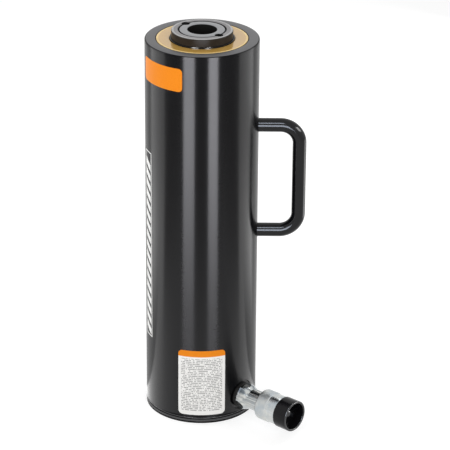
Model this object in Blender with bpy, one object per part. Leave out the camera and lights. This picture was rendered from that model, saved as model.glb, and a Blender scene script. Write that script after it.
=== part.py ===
"""Hollow plunger cylinder, single acting with spring return.

A long cylinder body holds a centre tube that leaves a clear hole from end to end.
Oil pushes a ring shaped piston up between the bore and the centre tube.
The piston carries the hollow plunger and its screwed saddle.
A coil spring round the plunger, caught under the stop ring, brings it back.
Lengths are in metres, +Z is up, and z = 0 is the underside of the base plate.
"""
from math import cos, pi, radians, sin, tau

import bmesh
import bpy
from mathutils import Vector

MM = 0.001

# Walls and spaces from the centre hole outwards; the radii are added up further down
HOLE_RADIUS = 16.7 * MM
TUBE_WALL = 4.3 * MM
GUIDE_GAP = 0.7 * MM
PLUNGER_WALL = 13.3 * MM
SPRING_SPACE = 10.0 * MM
BODY_WALL = 20.0 * MM

# Body and base
BODY_HEIGHT = 458.0 * MM
BODY_EDGE = 1.2 * MM
BASE_PLATE_THICKNESS = 7.0 * MM
BASE_EDGE = 0.8 * MM
FLOOR_THICKNESS = 12.7 * MM

# Clearances
SEAT_GAP = 0.3 * MM
RUNNING_GAP = 0.3 * MM

# Centre tube
TUBE_FOOT_FLANGE = 5.0 * MM
TUBE_FOOT_HEIGHT = 5.7 * MM
TUBE_TOP_CLEARANCE = 6.0 * MM
TUBE_SEAL_SECTION = 2.4 * MM

# Stop ring, wiper and gland bearing
STOP_RING_SEAT = 7.0 * MM
STOP_RING_HEIGHT = 30.0 * MM
STOP_RING_MOUTH_GAP = 2.0 * MM
STOP_RING_LIP = 2.3 * MM
STOP_RING_EDGE = 0.6 * MM
WIPER_WALL = 4.9 * MM
WIPER_HEIGHT = 5.4 * MM
WIPER_LIP_RISE = 1.6 * MM
WIPER_LIP_WIDTH = 1.0 * MM
GLAND_BEARING_WALL = 2.7 * MM
GLAND_BEARING_HEIGHT = 10.0 * MM
GLAND_BEARING_RISE = 6.0 * MM
LOCK_SCREW_RADIUS = 2.5 * MM
LOCK_SCREW_LENGTH = 8.0 * MM
LOCK_SCREW_INSET = 7.0 * MM
LOCK_SCREW_ANGLE = radians(90.0)

# Plunger and saddle
PLUNGER_RISE = 10.0 * MM
PLUNGER_EDGE = 2.0 * MM
PLUNGER_MOUTH_EDGE = 1.0 * MM
PLUNGER_SPIGOT_STEP = 5.0 * MM
PLUNGER_SPIGOT_LENGTH = 14.0 * MM
SADDLE_SURROUND = 8.0 * MM
SADDLE_LENGTH = 21.7 * MM
SADDLE_EDGE = 1.4 * MM
SADDLE_HOLE_EDGE = 1.0 * MM
NOTCH_RADIUS = 4.7 * MM
NOTCH_DEPTH = 4.0 * MM
NOTCH_ANGLE = radians(135.0)

# Piston
PISTON_HEIGHT = 44.0 * MM
PISTON_NOSE_INSET = 5.0 * MM
PISTON_NOSE_HEIGHT = 14.0 * MM
PISTON_SEAL_DEPTH = 5.0 * MM
PISTON_SEAL_HEIGHT = 4.2 * MM
BACKUP_RING_HEIGHT = 2.0 * MM
PISTON_SEAL_RISE = 20.0 * MM
PISTON_BEARING_DEPTH = 2.5 * MM
PISTON_BEARING_HEIGHT = 9.0 * MM
PISTON_BEARING_RISE = 31.0 * MM
INNER_SEAL_DEPTH = 4.0 * MM
INNER_SEAL_HEIGHT = 6.0 * MM
INNER_SEAL_RISE = 4.5 * MM
INNER_BEARING_DEPTH = 2.2 * MM
INNER_BEARING_HEIGHT = 8.0 * MM
INNER_BEARING_RISE = 15.0 * MM

# Return spring
SPRING_CLEARANCE = 2.0 * MM
SPRING_TURNS = 13

# Handle
HANDLE_BAR_RADIUS = 8.0 * MM
HANDLE_STANDOFF = 55.0 * MM
HANDLE_TOP_HEIGHT = 353.0 * MM
HANDLE_LEG_SPACING = 131.0 * MM
HANDLE_BEND_RADIUS = 22.0 * MM
HANDLE_SOCKET_WEB = 7.0 * MM

# Coupler: distances along its own axis start at the cylinder axis
COUPLER_ANGLE = radians(-41.0)
COUPLER_HEIGHT = 27.0 * MM
SPOT_FACE_MARGIN = 3.2 * MM
SPOT_FACE_DEPTH = 3.0 * MM
PORT_RADIUS = 9.0 * MM
PORT_WEB = 4.6 * MM
OIL_HOLE_RADIUS = 4.0 * MM
PORT_SEAL_WALL = 6.0 * MM
PORT_SEAL_THICKNESS = 5.0 * MM
HEX_ACROSS_FLATS = 28.0 * MM
HEX_CORNER_RELIEF = 0.25 * MM
HEX_LENGTH = 4.6 * MM
HEX_TAPER_LENGTH = 9.4 * MM
NECK_RADIUS = 12.3 * MM
NECK_LENGTH = 16.9 * MM
NOSE_STEP = 1.8 * MM
NOSE_LENGTH = 21.3 * MM
NOSE_WALL = 3.5 * MM
VALVE_CHAMBER_LENGTH = 15.0 * MM
VALVE_MOUTH_RADIUS = 4.6 * MM
VALVE_LIP = 2.5 * MM
SEAT_CONE = 1.5 * MM
COLLAR_LENGTH = 28.7 * MM
COLLAR_GRIP_LENGTH = 15.5 * MM
COLLAR_GRIP_STEP = 0.7 * MM
COLLAR_WEB = 3.2 * MM
COLLAR_SPACE = 3.4 * MM
COLLAR_WALL = 1.8 * MM
COLLAR_BACK_EDGE = 2.0 * MM
RETAINER_DEPTH = 1.3 * MM
RETAINER_WIDTH = 2.0 * MM
POPPET_STEM_RADIUS = 3.0 * MM
POPPET_STEM_LENGTH = 2.0 * MM
POPPET_HEAD_LENGTH = 4.5 * MM
POPPET_PROUD = 0.2 * MM
POPPET_SPRING_WIRE_RADIUS = 0.45 * MM
POPPET_SPRING_TURNS = 5

# Dust cap
CAP_STEP = 0.3 * MM
CAP_PLUG_LENGTH = 3.5 * MM
CAP_PLUG_WALL = 1.6 * MM
CAP_WEB = 3.0 * MM
CAP_RECESS = 15.5 * MM
CAP_RIM = 2.7 * MM
CAP_EDGE = 0.9 * MM
CAP_HUB_RADIUS = 4.5 * MM
CAP_HUB_HEIGHT = 4.0 * MM
CAP_RIB_WIDTH = 2.0 * MM
CAP_RIB_HEIGHT = 2.2 * MM

# Base screws
BASE_SCREW_COUNT = 4
BASE_SCREW_INSET = 11.0 * MM
BASE_SCREW_RADIUS = 3.0 * MM
BASE_SCREW_LENGTH = 16.0 * MM
BASE_SCREW_HEAD_RADIUS = 5.7 * MM
BASE_SCREW_HEAD_HEIGHT = 3.0 * MM
BASE_SCREW_SINK = 0.4 * MM
BASE_SCREW_SOCKET_RADIUS = 1.9 * MM
BASE_SCREW_SOCKET_DEPTH = 1.5 * MM

# Facets
OUTER_SIDES = 40
INNER_SIDES = 28
COUPLER_SIDES = 24
SMALL_SIDES = 12

# Radii that follow from the sizes above
TUBE_RADIUS = HOLE_RADIUS + TUBE_WALL
TUBE_FOOT_RADIUS = TUBE_RADIUS + TUBE_FOOT_FLANGE
PLUNGER_BORE_RADIUS = TUBE_RADIUS + GUIDE_GAP
PLUNGER_RADIUS = PLUNGER_BORE_RADIUS + PLUNGER_WALL
PLUNGER_SPIGOT_RADIUS = PLUNGER_RADIUS - PLUNGER_SPIGOT_STEP
SADDLE_RADIUS = PLUNGER_RADIUS - SADDLE_SURROUND - SEAT_GAP
SPRING_WIRE_RADIUS = SPRING_SPACE / 2 - SPRING_CLEARANCE
WIPER_RADIUS = PLUNGER_RADIUS + RUNNING_GAP + WIPER_WALL
BORE_RADIUS = PLUNGER_RADIUS + SPRING_SPACE
STOP_RING_RADIUS = BORE_RADIUS + STOP_RING_SEAT
STOP_RING_MOUTH_RADIUS = PLUNGER_RADIUS + STOP_RING_MOUTH_GAP
LOCK_SCREW_PITCH_RADIUS = STOP_RING_RADIUS - LOCK_SCREW_INSET
BODY_RADIUS = BORE_RADIUS + BODY_WALL
BASE_SCREW_PITCH_RADIUS = BODY_RADIUS - BASE_SCREW_INSET
HANDLE_REACH = BODY_RADIUS + HANDLE_STANDOFF
HANDLE_SOCKET_DEPTH = BODY_WALL - HANDLE_SOCKET_WEB
PORT_SEAL_RADIUS = PORT_RADIUS + PORT_SEAL_WALL
PORT_DEPTH = BODY_WALL - SPOT_FACE_DEPTH - PORT_WEB
SPOT_FACE_RADIUS = PORT_SEAL_RADIUS + SPOT_FACE_MARGIN
NOSE_RADIUS = NECK_RADIUS - NOSE_STEP
VALVE_CHAMBER_RADIUS = NOSE_RADIUS - NOSE_WALL
COLLAR_BAND_RADIUS = NECK_RADIUS + COLLAR_SPACE + COLLAR_WALL
COLLAR_RADIUS = COLLAR_BAND_RADIUS + COLLAR_GRIP_STEP
CAP_RADIUS = COLLAR_RADIUS + CAP_STEP

# Heights that follow from the sizes above
FLOOR_BOTTOM = BASE_PLATE_THICKNESS + SEAT_GAP
FLOOR_TOP = FLOOR_BOTTOM + FLOOR_THICKNESS
PISTON_BOTTOM = FLOOR_TOP + SEAT_GAP
PISTON_TOP = PISTON_BOTTOM + PISTON_HEIGHT
PLUNGER_TOP = BODY_HEIGHT + PLUNGER_RISE
SADDLE_BOTTOM = PLUNGER_TOP - SADDLE_LENGTH
TUBE_TOP = SADDLE_BOTTOM - TUBE_TOP_CLEARANCE
STOP_RING_BOTTOM = BODY_HEIGHT - STOP_RING_HEIGHT

# Stations along the coupler axis
SPOT_FACE = BODY_RADIUS - SPOT_FACE_DEPTH
HEX_BACK = SPOT_FACE + PORT_SEAL_THICKNESS + 2 * SEAT_GAP
HEX_TAPER_START = HEX_BACK + HEX_LENGTH
NECK_START = HEX_TAPER_START + HEX_TAPER_LENGTH
COLLAR_BACK = NECK_START + NECK_LENGTH
RETAINER_START = COLLAR_BACK + COLLAR_WEB
NOSE_START = RETAINER_START + RETAINER_WIDTH + 2 * SEAT_GAP
NOSE_FRONT = RETAINER_START + NOSE_LENGTH
COLLAR_FRONT = COLLAR_BACK + COLLAR_LENGTH
CAP_PLUG_BACK = COLLAR_FRONT - CAP_PLUG_LENGTH
CAP_WEB_BACK = COLLAR_FRONT + SEAT_GAP
CAP_WEB_FRONT = CAP_WEB_BACK + CAP_WEB
CAP_FRONT = CAP_WEB_FRONT + CAP_RECESS

# The cylinder axis stands off the origin, which is the middle of the outline
REACH_RIGHT = max(HANDLE_REACH,
                  CAP_FRONT * cos(COUPLER_ANGLE) + CAP_RADIUS * abs(sin(COUPLER_ANGLE)))
REACH_FRONT = CAP_FRONT * abs(sin(COUPLER_ANGLE)) + CAP_RADIUS * cos(COUPLER_ANGLE)
AXIS_X = (BODY_RADIUS - REACH_RIGHT) / 2
AXIS_Y = (REACH_FRONT - BODY_RADIUS) / 2


def clear_scene():
    for obj in list(bpy.data.objects):
        bpy.data.objects.remove(obj, do_unlink=True)


def add_axis(name, location, rotation=(0.0, 0.0, 0.0)):
    empty = bpy.data.objects.new(name, None)
    empty.empty_display_size = 0.03
    empty.location = location
    empty.rotation_euler = rotation
    bpy.context.scene.collection.objects.link(empty)
    return empty


def make_material(name, colour, roughness, metallic):
    material = bpy.data.materials.new(name)
    material.use_nodes = True
    shader = material.node_tree.nodes["Principled BSDF"]
    shader.inputs["Base Color"].default_value = (*colour, 1.0)
    shader.inputs["Roughness"].default_value = roughness
    shader.inputs["Metallic"].default_value = metallic
    return material


def add_solid(name, bm, parent, finish=None):
    """Turn a bmesh into a named object under its parent empty."""
    bmesh.ops.remove_doubles(bm, verts=bm.verts, dist=1e-6)
    bmesh.ops.recalc_face_normals(bm, faces=bm.faces)
    mesh = bpy.data.meshes.new(name)
    bm.to_mesh(mesh)
    bm.free()
    mesh.shade_smooth()
    mesh.set_sharp_from_angle(angle=radians(32))
    obj = bpy.data.objects.new(name, mesh)
    bpy.context.scene.collection.objects.link(obj)
    obj.parent = parent
    if finish:
        mesh.materials.append(make_material(name + "_finish", *finish))
    return obj


def turned(profile, sides):
    """Spin a profile of (radius, height) pairs round Z.

    A profile that starts and ends on the axis gives a plain solid.
    Any other profile is closed first and gives a ring.
    """
    bm = bmesh.new()
    verts = [bm.verts.new((radius, 0.0, height)) for radius, height in profile]
    edges = [bm.edges.new(pair) for pair in zip(verts, verts[1:])]
    if profile[0][0] > 0:
        edges.append(bm.edges.new((verts[-1], verts[0])))
    bmesh.ops.spin(bm, geom=verts + edges, cent=(0, 0, 0), axis=(0, 0, 1),
                   angle=tau, steps=sides, use_merge=True, use_duplicate=False)
    return bm


def swept(points, normals, radius, sides):
    """Carry a round section along points; each normal squares its section to the path."""
    bm = bmesh.new()
    rings = []
    last = len(points) - 1
    for index, point in enumerate(points):
        ahead = points[min(index + 1, last)] - points[max(index - 1, 0)]
        ahead.normalize()
        across = normals[index] - ahead * normals[index].dot(ahead)
        across.normalize()
        third = ahead.cross(across)
        ring = []
        for step in range(sides):
            angle = tau * step / sides
            offset = across * cos(angle) + third * sin(angle)
            ring.append(bm.verts.new(point + offset * radius))
        rings.append(ring)
    for near, far in zip(rings, rings[1:]):
        for step in range(sides):
            after = (step + 1) % sides
            bm.faces.new((near[step], near[after], far[after], far[step]))
    bm.faces.new(rings[0])
    bm.faces.new(rings[-1])
    return bm


def prism(outline, low, high):
    """Extrude a closed outline of (x, y) pairs from one height to another."""
    bm = bmesh.new()
    face = bm.faces.new([bm.verts.new((x, y, low)) for x, y in outline])
    grown = bmesh.ops.extrude_face_region(bm, geom=[face])
    top = [item for item in grown["geom"] if isinstance(item, bmesh.types.BMVert)]
    bmesh.ops.translate(bm, verts=top, vec=(0, 0, high - low))
    return bm


def combine(target, tool, operation):
    """Apply a helper solid to an object with an exact Boolean."""
    tool.hide_render = True
    tool.display_type = "WIRE"
    modifier = target.modifiers.new(tool.name, "BOOLEAN")
    modifier.operation = operation
    modifier.solver = "EXACT"
    modifier.object = tool


def coil(bottom, top, mean_radius, wire_radius, turns, steps, sides):
    """Compression spring with one closed turn at each end."""
    dead_pitch = 2 * wire_radius + SEAT_GAP
    rise = top - bottom - 2 * wire_radius
    count = turns * steps

    def opening(turn):
        share = (min(turn, turns - turn) - 0.9) / 0.4
        share = min(max(share, 0.0), 1.0)
        return share * share * (3 - 2 * share)

    weights = [opening((index + 0.5) / steps) for index in range(count)]
    live_pitch = (rise - dead_pitch * turns) / (sum(weights) / steps)
    points = []
    normals = []
    height = bottom + wire_radius
    for index in range(count + 1):
        angle = tau * index / steps
        outward = Vector((cos(angle), sin(angle), 0.0))
        points.append(outward * mean_radius + Vector((0, 0, height)))
        normals.append(outward)
        if index < count:
            height += (dead_pitch + live_pitch * weights[index]) / steps
    return swept(points, normals, wire_radius, sides)


def add_base_plate(axis):
    low_edge = BASE_EDGE
    high_edge = BASE_PLATE_THICKNESS - BASE_EDGE / 2
    profile = [
        (HOLE_RADIUS + BASE_EDGE, 0.0),
        (BODY_RADIUS - BASE_EDGE, 0.0),
        (BODY_RADIUS, low_edge),
        (BODY_RADIUS, high_edge),
        (BODY_RADIUS - BASE_EDGE / 2, BASE_PLATE_THICKNESS),
        (HOLE_RADIUS, BASE_PLATE_THICKNESS),
        (HOLE_RADIUS, low_edge),
    ]
    plate = add_solid("base_plate", turned(profile, OUTER_SIDES), axis,
                      ((0.055, 0.055, 0.06), 0.38, 0.6))
    head = BASE_SCREW_HEAD_RADIUS + SEAT_GAP
    shank = BASE_SCREW_RADIUS + SEAT_GAP
    head_top = BASE_SCREW_SINK + BASE_SCREW_HEAD_HEIGHT
    hole = [
        (0.0, -BASE_PLATE_THICKNESS),
        (head, -BASE_PLATE_THICKNESS),
        (head, BASE_SCREW_SINK),
        (shank, head_top),
        (shank, 2 * BASE_PLATE_THICKNESS),
        (0.0, 2 * BASE_PLATE_THICKNESS),
    ]
    for index, place in enumerate(base_screw_places()):
        tool = add_solid(f"plate_hole_{index + 1}", turned(hole, SMALL_SIDES), axis)
        tool.location = place
        combine(plate, tool, "DIFFERENCE")
    return plate


def base_screw_places():
    places = []
    for index in range(BASE_SCREW_COUNT):
        angle = tau * index / BASE_SCREW_COUNT
        places.append((BASE_SCREW_PITCH_RADIUS * cos(angle),
                       BASE_SCREW_PITCH_RADIUS * sin(angle), 0.0))
    return places


def add_base_screws(axis):
    head = BASE_SCREW_SINK
    neck = head + BASE_SCREW_HEAD_HEIGHT
    profile = [
        (0.0, head + BASE_SCREW_SOCKET_DEPTH),
        (BASE_SCREW_SOCKET_RADIUS, head + BASE_SCREW_SOCKET_DEPTH),
        (BASE_SCREW_SOCKET_RADIUS, head),
        (BASE_SCREW_HEAD_RADIUS, head),
        (BASE_SCREW_RADIUS, neck),
        (BASE_SCREW_RADIUS, head + BASE_SCREW_LENGTH),
        (0.0, head + BASE_SCREW_LENGTH),
    ]
    for index, place in enumerate(base_screw_places()):
        screw = add_solid(f"base_screw_{index + 1}", turned(profile, SMALL_SIDES), axis,
                          ((0.08, 0.08, 0.085), 0.4, 0.9))
        screw.location = place


def add_cylinder_body(axis, coupler_axis):
    foot = TUBE_FOOT_RADIUS + SEAT_GAP
    foot_top = FLOOR_BOTTOM + TUBE_FOOT_HEIGHT + SEAT_GAP
    tube = TUBE_RADIUS + SEAT_GAP
    groove = tube + TUBE_SEAL_SECTION + SEAT_GAP
    groove_low = foot_top + TUBE_SEAL_SECTION / 2
    groove_high = groove_low + TUBE_SEAL_SECTION + 2 * SEAT_GAP
    ring_seat = STOP_RING_BOTTOM - SEAT_GAP
    ring = STOP_RING_RADIUS + SEAT_GAP
    edge = BODY_EDGE
    profile = [
        (foot, FLOOR_BOTTOM),
        (foot, foot_top),
        (tube, foot_top),
        (tube, groove_low),
        (groove, groove_low),
        (groove, groove_high),
        (tube, groove_high),
        (tube, FLOOR_TOP),
        (BORE_RADIUS, FLOOR_TOP),
        (BORE_RADIUS, ring_seat),
        (ring, ring_seat),
        (ring, BODY_HEIGHT - edge / 2),
        (ring + edge / 2, BODY_HEIGHT),
        (BODY_RADIUS - edge, BODY_HEIGHT),
        (BODY_RADIUS, BODY_HEIGHT - edge),
        (BODY_RADIUS, FLOOR_BOTTOM + BASE_EDGE),
        (BODY_RADIUS - BASE_EDGE, FLOOR_BOTTOM),
    ]
    body = add_solid("cylinder_body", turned(profile, OUTER_SIDES), axis,
                     ((0.012, 0.012, 0.014), 0.27, 0.55))
    beyond = BODY_RADIUS + SPOT_FACE_RADIUS
    port_bottom = SPOT_FACE - PORT_DEPTH
    port = [
        (0.0, BORE_RADIUS - PISTON_NOSE_INSET),
        (OIL_HOLE_RADIUS, BORE_RADIUS - PISTON_NOSE_INSET),
        (OIL_HOLE_RADIUS, port_bottom),
        (PORT_RADIUS, port_bottom),
        (PORT_RADIUS, SPOT_FACE),
        (SPOT_FACE_RADIUS, SPOT_FACE),
        (SPOT_FACE_RADIUS, beyond),
        (0.0, beyond),
    ]
    tool = add_solid("port_cut", turned(port, COUPLER_SIDES), coupler_axis)
    combine(body, tool, "DIFFERENCE")
    socket_floor = BODY_RADIUS - HANDLE_SOCKET_DEPTH
    socket = [
        (0.0, socket_floor),
        (HANDLE_BAR_RADIUS + SEAT_GAP, socket_floor),
        (HANDLE_BAR_RADIUS + SEAT_GAP, beyond),
        (0.0, beyond),
    ]
    for index, height in enumerate(handle_heights()):
        tool = add_solid(f"handle_socket_{index + 1}", turned(socket, COUPLER_SIDES), axis)
        tool.location = (0.0, 0.0, height)
        tool.rotation_euler = (0.0, pi / 2, 0.0)
        combine(body, tool, "DIFFERENCE")
    thread = BASE_SCREW_RADIUS + SEAT_GAP
    thread_top = BASE_SCREW_SINK + BASE_SCREW_LENGTH + 1.2 * MM
    blind = [(0.0, 0.0), (thread, 0.0), (thread, thread_top), (0.0, thread_top)]
    for index, place in enumerate(base_screw_places()):
        tool = add_solid(f"body_hole_{index + 1}", turned(blind, SMALL_SIDES), axis)
        tool.location = place
        combine(body, tool, "DIFFERENCE")
    return body


def add_center_tube(axis):
    foot_top = FLOOR_BOTTOM + TUBE_FOOT_HEIGHT
    edge = 0.8 * MM
    profile = [
        (HOLE_RADIUS, FLOOR_BOTTOM),
        (TUBE_FOOT_RADIUS, FLOOR_BOTTOM),
        (TUBE_FOOT_RADIUS, foot_top),
        (TUBE_RADIUS, foot_top),
        (TUBE_RADIUS, TUBE_TOP - edge),
        (TUBE_RADIUS - edge, TUBE_TOP),
        (HOLE_RADIUS + edge, TUBE_TOP),
        (HOLE_RADIUS, TUBE_TOP - edge),
    ]
    return add_solid("center_tube", turned(profile, INNER_SIDES), axis,
                     ((0.30, 0.31, 0.33), 0.22, 1.0))


def ring_profile(inner, outer, low, high):
    return [(inner, low), (outer, low), (outer, high), (inner, high)]


def add_tube_seal(axis):
    inner = TUBE_RADIUS + SEAT_GAP
    low = FLOOR_BOTTOM + TUBE_FOOT_HEIGHT + TUBE_SEAL_SECTION / 2 + 2 * SEAT_GAP
    profile = ring_profile(inner, inner + TUBE_SEAL_SECTION, low, low + TUBE_SEAL_SECTION)
    return add_solid("tube_seal", turned(profile, INNER_SIDES), axis,
                     ((0.02, 0.02, 0.02), 0.7, 0.0))


def add_stop_ring(axis):
    gland = PLUNGER_RADIUS + GUIDE_GAP
    bearing = PLUNGER_RADIUS + RUNNING_GAP + GLAND_BEARING_WALL + SEAT_GAP
    bearing_low = STOP_RING_BOTTOM + GLAND_BEARING_RISE - SEAT_GAP
    bearing_high = bearing_low + GLAND_BEARING_HEIGHT + 2 * SEAT_GAP
    wiper_high = BODY_HEIGHT - STOP_RING_LIP
    wiper_low = wiper_high - WIPER_HEIGHT - 2 * SEAT_GAP
    wiper = WIPER_RADIUS + SEAT_GAP
    edge = STOP_RING_EDGE
    profile = [
        (gland, STOP_RING_BOTTOM),
        (gland, bearing_low),
        (bearing, bearing_low),
        (bearing, bearing_high),
        (gland, bearing_high),
        (gland, wiper_low),
        (wiper, wiper_low),
        (wiper, wiper_high),
        (STOP_RING_MOUTH_RADIUS, wiper_high),
        (STOP_RING_MOUTH_RADIUS, BODY_HEIGHT - edge),
        (STOP_RING_MOUTH_RADIUS + edge, BODY_HEIGHT),
        (STOP_RING_RADIUS - edge, BODY_HEIGHT),
        (STOP_RING_RADIUS, BODY_HEIGHT - edge),
        (STOP_RING_RADIUS, STOP_RING_BOTTOM),
    ]
    ring = add_solid("stop_ring", turned(profile, OUTER_SIDES), axis,
                     ((0.60, 0.43, 0.20), 0.3, 0.9))
    radius = LOCK_SCREW_RADIUS + SEAT_GAP
    low = BODY_HEIGHT - LOCK_SCREW_LENGTH - 3 * SEAT_GAP
    high = BODY_HEIGHT + LOCK_SCREW_LENGTH
    hole = [(0.0, low), (radius, low), (radius, high), (0.0, high)]
    tool = add_solid("lock_screw_hole", turned(hole, SMALL_SIDES), axis)
    tool.location = lock_screw_place()
    combine(ring, tool, "DIFFERENCE")
    return ring


def lock_screw_place():
    return (LOCK_SCREW_PITCH_RADIUS * cos(LOCK_SCREW_ANGLE),
            LOCK_SCREW_PITCH_RADIUS * sin(LOCK_SCREW_ANGLE), 0.0)


def add_lock_screw(axis):
    high = BODY_HEIGHT - 2 * SEAT_GAP
    low = high - LOCK_SCREW_LENGTH
    socket = LOCK_SCREW_RADIUS / 2
    socket_floor = high - LOCK_SCREW_LENGTH / 4
    profile = [
        (0.0, low),
        (LOCK_SCREW_RADIUS, low),
        (LOCK_SCREW_RADIUS, high),
        (socket, high),
        (socket, socket_floor),
        (0.0, socket_floor),
    ]
    screw = add_solid("ring_lock_screw", turned(profile, SMALL_SIDES), axis,
                      ((0.25, 0.25, 0.26), 0.35, 1.0))
    screw.location = lock_screw_place()
    return screw


def add_rod_wiper(axis):
    inner = PLUNGER_RADIUS + RUNNING_GAP
    high = BODY_HEIGHT - STOP_RING_LIP - SEAT_GAP
    low = high - WIPER_HEIGHT
    tip = high + WIPER_LIP_RISE
    profile = [
        (inner, low),
        (WIPER_RADIUS, low),
        (WIPER_RADIUS, high),
        (STOP_RING_MOUTH_RADIUS - SEAT_GAP, high),
        (inner + WIPER_LIP_WIDTH, tip),
        (inner, tip),
    ]
    return add_solid("rod_wiper", turned(profile, OUTER_SIDES), axis,
                     ((0.015, 0.015, 0.015), 0.6, 0.0))


def add_gland_bearing(axis):
    inner = PLUNGER_RADIUS + RUNNING_GAP
    low = STOP_RING_BOTTOM + GLAND_BEARING_RISE
    profile = ring_profile(inner, inner + GLAND_BEARING_WALL, low, low + GLAND_BEARING_HEIGHT)
    return add_solid("gland_bearing", turned(profile, INNER_SIDES), axis,
                     ((0.22, 0.12, 0.06), 0.5, 0.0))


def cut_notches(piece, axis):
    """Two pin holes on the joint between saddle and plunger, half in each."""
    low = PLUNGER_TOP - NOTCH_DEPTH
    high = PLUNGER_TOP + NOTCH_DEPTH
    notch = [(0.0, low), (NOTCH_RADIUS, low), (NOTCH_RADIUS, high), (0.0, high)]
    for index in range(2):
        angle = NOTCH_ANGLE + pi * index
        tool = add_solid(f"notch_{index + 1}", turned(notch, SMALL_SIDES), axis)
        tool.location = (SADDLE_RADIUS * cos(angle), SADDLE_RADIUS * sin(angle), 0.0)
        combine(piece, tool, "DIFFERENCE")


def add_plunger(axis):
    spigot_low = PISTON_TOP - PLUNGER_SPIGOT_LENGTH
    shoulder = PISTON_TOP + SEAT_GAP
    saddle_bore = SADDLE_RADIUS + SEAT_GAP
    saddle_floor = SADDLE_BOTTOM - SEAT_GAP
    edge = PLUNGER_EDGE
    mouth = PLUNGER_MOUTH_EDGE
    profile = [
        (PLUNGER_BORE_RADIUS, spigot_low),
        (PLUNGER_SPIGOT_RADIUS, spigot_low),
        (PLUNGER_SPIGOT_RADIUS, shoulder),
        (PLUNGER_RADIUS, shoulder),
        (PLUNGER_RADIUS, PLUNGER_TOP - edge),
        (PLUNGER_RADIUS - 0.3 * edge, PLUNGER_TOP - 0.3 * edge),
        (PLUNGER_RADIUS - edge, PLUNGER_TOP),
        (saddle_bore + mouth, PLUNGER_TOP),
        (saddle_bore, PLUNGER_TOP - mouth),
        (saddle_bore, saddle_floor),
        (PLUNGER_BORE_RADIUS, saddle_floor),
    ]
    plunger = add_solid("plunger", turned(profile, OUTER_SIDES), axis,
                        ((0.10, 0.085, 0.07), 0.3, 0.8))
    cut_notches(plunger, axis)
    return plunger


def add_saddle(axis):
    edge = SADDLE_EDGE
    hole_edge = SADDLE_HOLE_EDGE
    profile = [
        (HOLE_RADIUS, SADDLE_BOTTOM),
        (SADDLE_RADIUS, SADDLE_BOTTOM),
        (SADDLE_RADIUS, PLUNGER_TOP - edge),
        (SADDLE_RADIUS - edge, PLUNGER_TOP),
        (HOLE_RADIUS + hole_edge, PLUNGER_TOP),
        (HOLE_RADIUS, PLUNGER_TOP - hole_edge),
    ]
    saddle = add_solid("saddle", turned(profile, OUTER_SIDES), axis,
                       ((0.36, 0.37, 0.39), 0.35, 0.9))
    cut_notches(saddle, axis)
    return saddle


def add_piston(axis):
    outer = BORE_RADIUS - RUNNING_GAP
    nose = BORE_RADIUS - PISTON_NOSE_INSET
    inner = TUBE_RADIUS + RUNNING_GAP
    socket = PLUNGER_SPIGOT_RADIUS + SEAT_GAP
    socket_floor = PISTON_TOP - PLUNGER_SPIGOT_LENGTH - SEAT_GAP
    nose_top = PISTON_BOTTOM + PISTON_NOSE_HEIGHT
    seal_floor = outer - PISTON_SEAL_DEPTH
    seal_low = PISTON_BOTTOM + PISTON_SEAL_RISE
    seal_high = seal_low + PISTON_SEAL_HEIGHT + BACKUP_RING_HEIGHT + 3 * SEAT_GAP
    band_floor = outer - PISTON_BEARING_DEPTH
    band_low = PISTON_BOTTOM + PISTON_BEARING_RISE
    band_high = band_low + PISTON_BEARING_HEIGHT + 2 * SEAT_GAP
    lip_floor = inner + INNER_SEAL_DEPTH
    lip_low = PISTON_BOTTOM + INNER_SEAL_RISE
    lip_high = lip_low + INNER_SEAL_HEIGHT + 2 * SEAT_GAP
    guide_floor = inner + INNER_BEARING_DEPTH
    guide_low = PISTON_BOTTOM + INNER_BEARING_RISE
    guide_high = guide_low + INNER_BEARING_HEIGHT + 2 * SEAT_GAP
    profile = [
        (inner, PISTON_BOTTOM),
        (nose, PISTON_BOTTOM),
        (nose, nose_top),
        (outer, nose_top),
        (outer, seal_low),
        (seal_floor, seal_low),
        (seal_floor, seal_high),
        (outer, seal_high),
        (outer, band_low),
        (band_floor, band_low),
        (band_floor, band_high),
        (outer, band_high),
        (outer, PISTON_TOP),
        (socket, PISTON_TOP),
        (socket, socket_floor),
        (inner, socket_floor),
        (inner, guide_high),
        (guide_floor, guide_high),
        (guide_floor, guide_low),
        (inner, guide_low),
        (inner, lip_high),
        (lip_floor, lip_high),
        (lip_floor, lip_low),
        (inner, lip_low),
    ]
    return add_solid("piston_head", turned(profile, INNER_SIDES), axis,
                     ((0.45, 0.46, 0.48), 0.35, 1.0))


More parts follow.
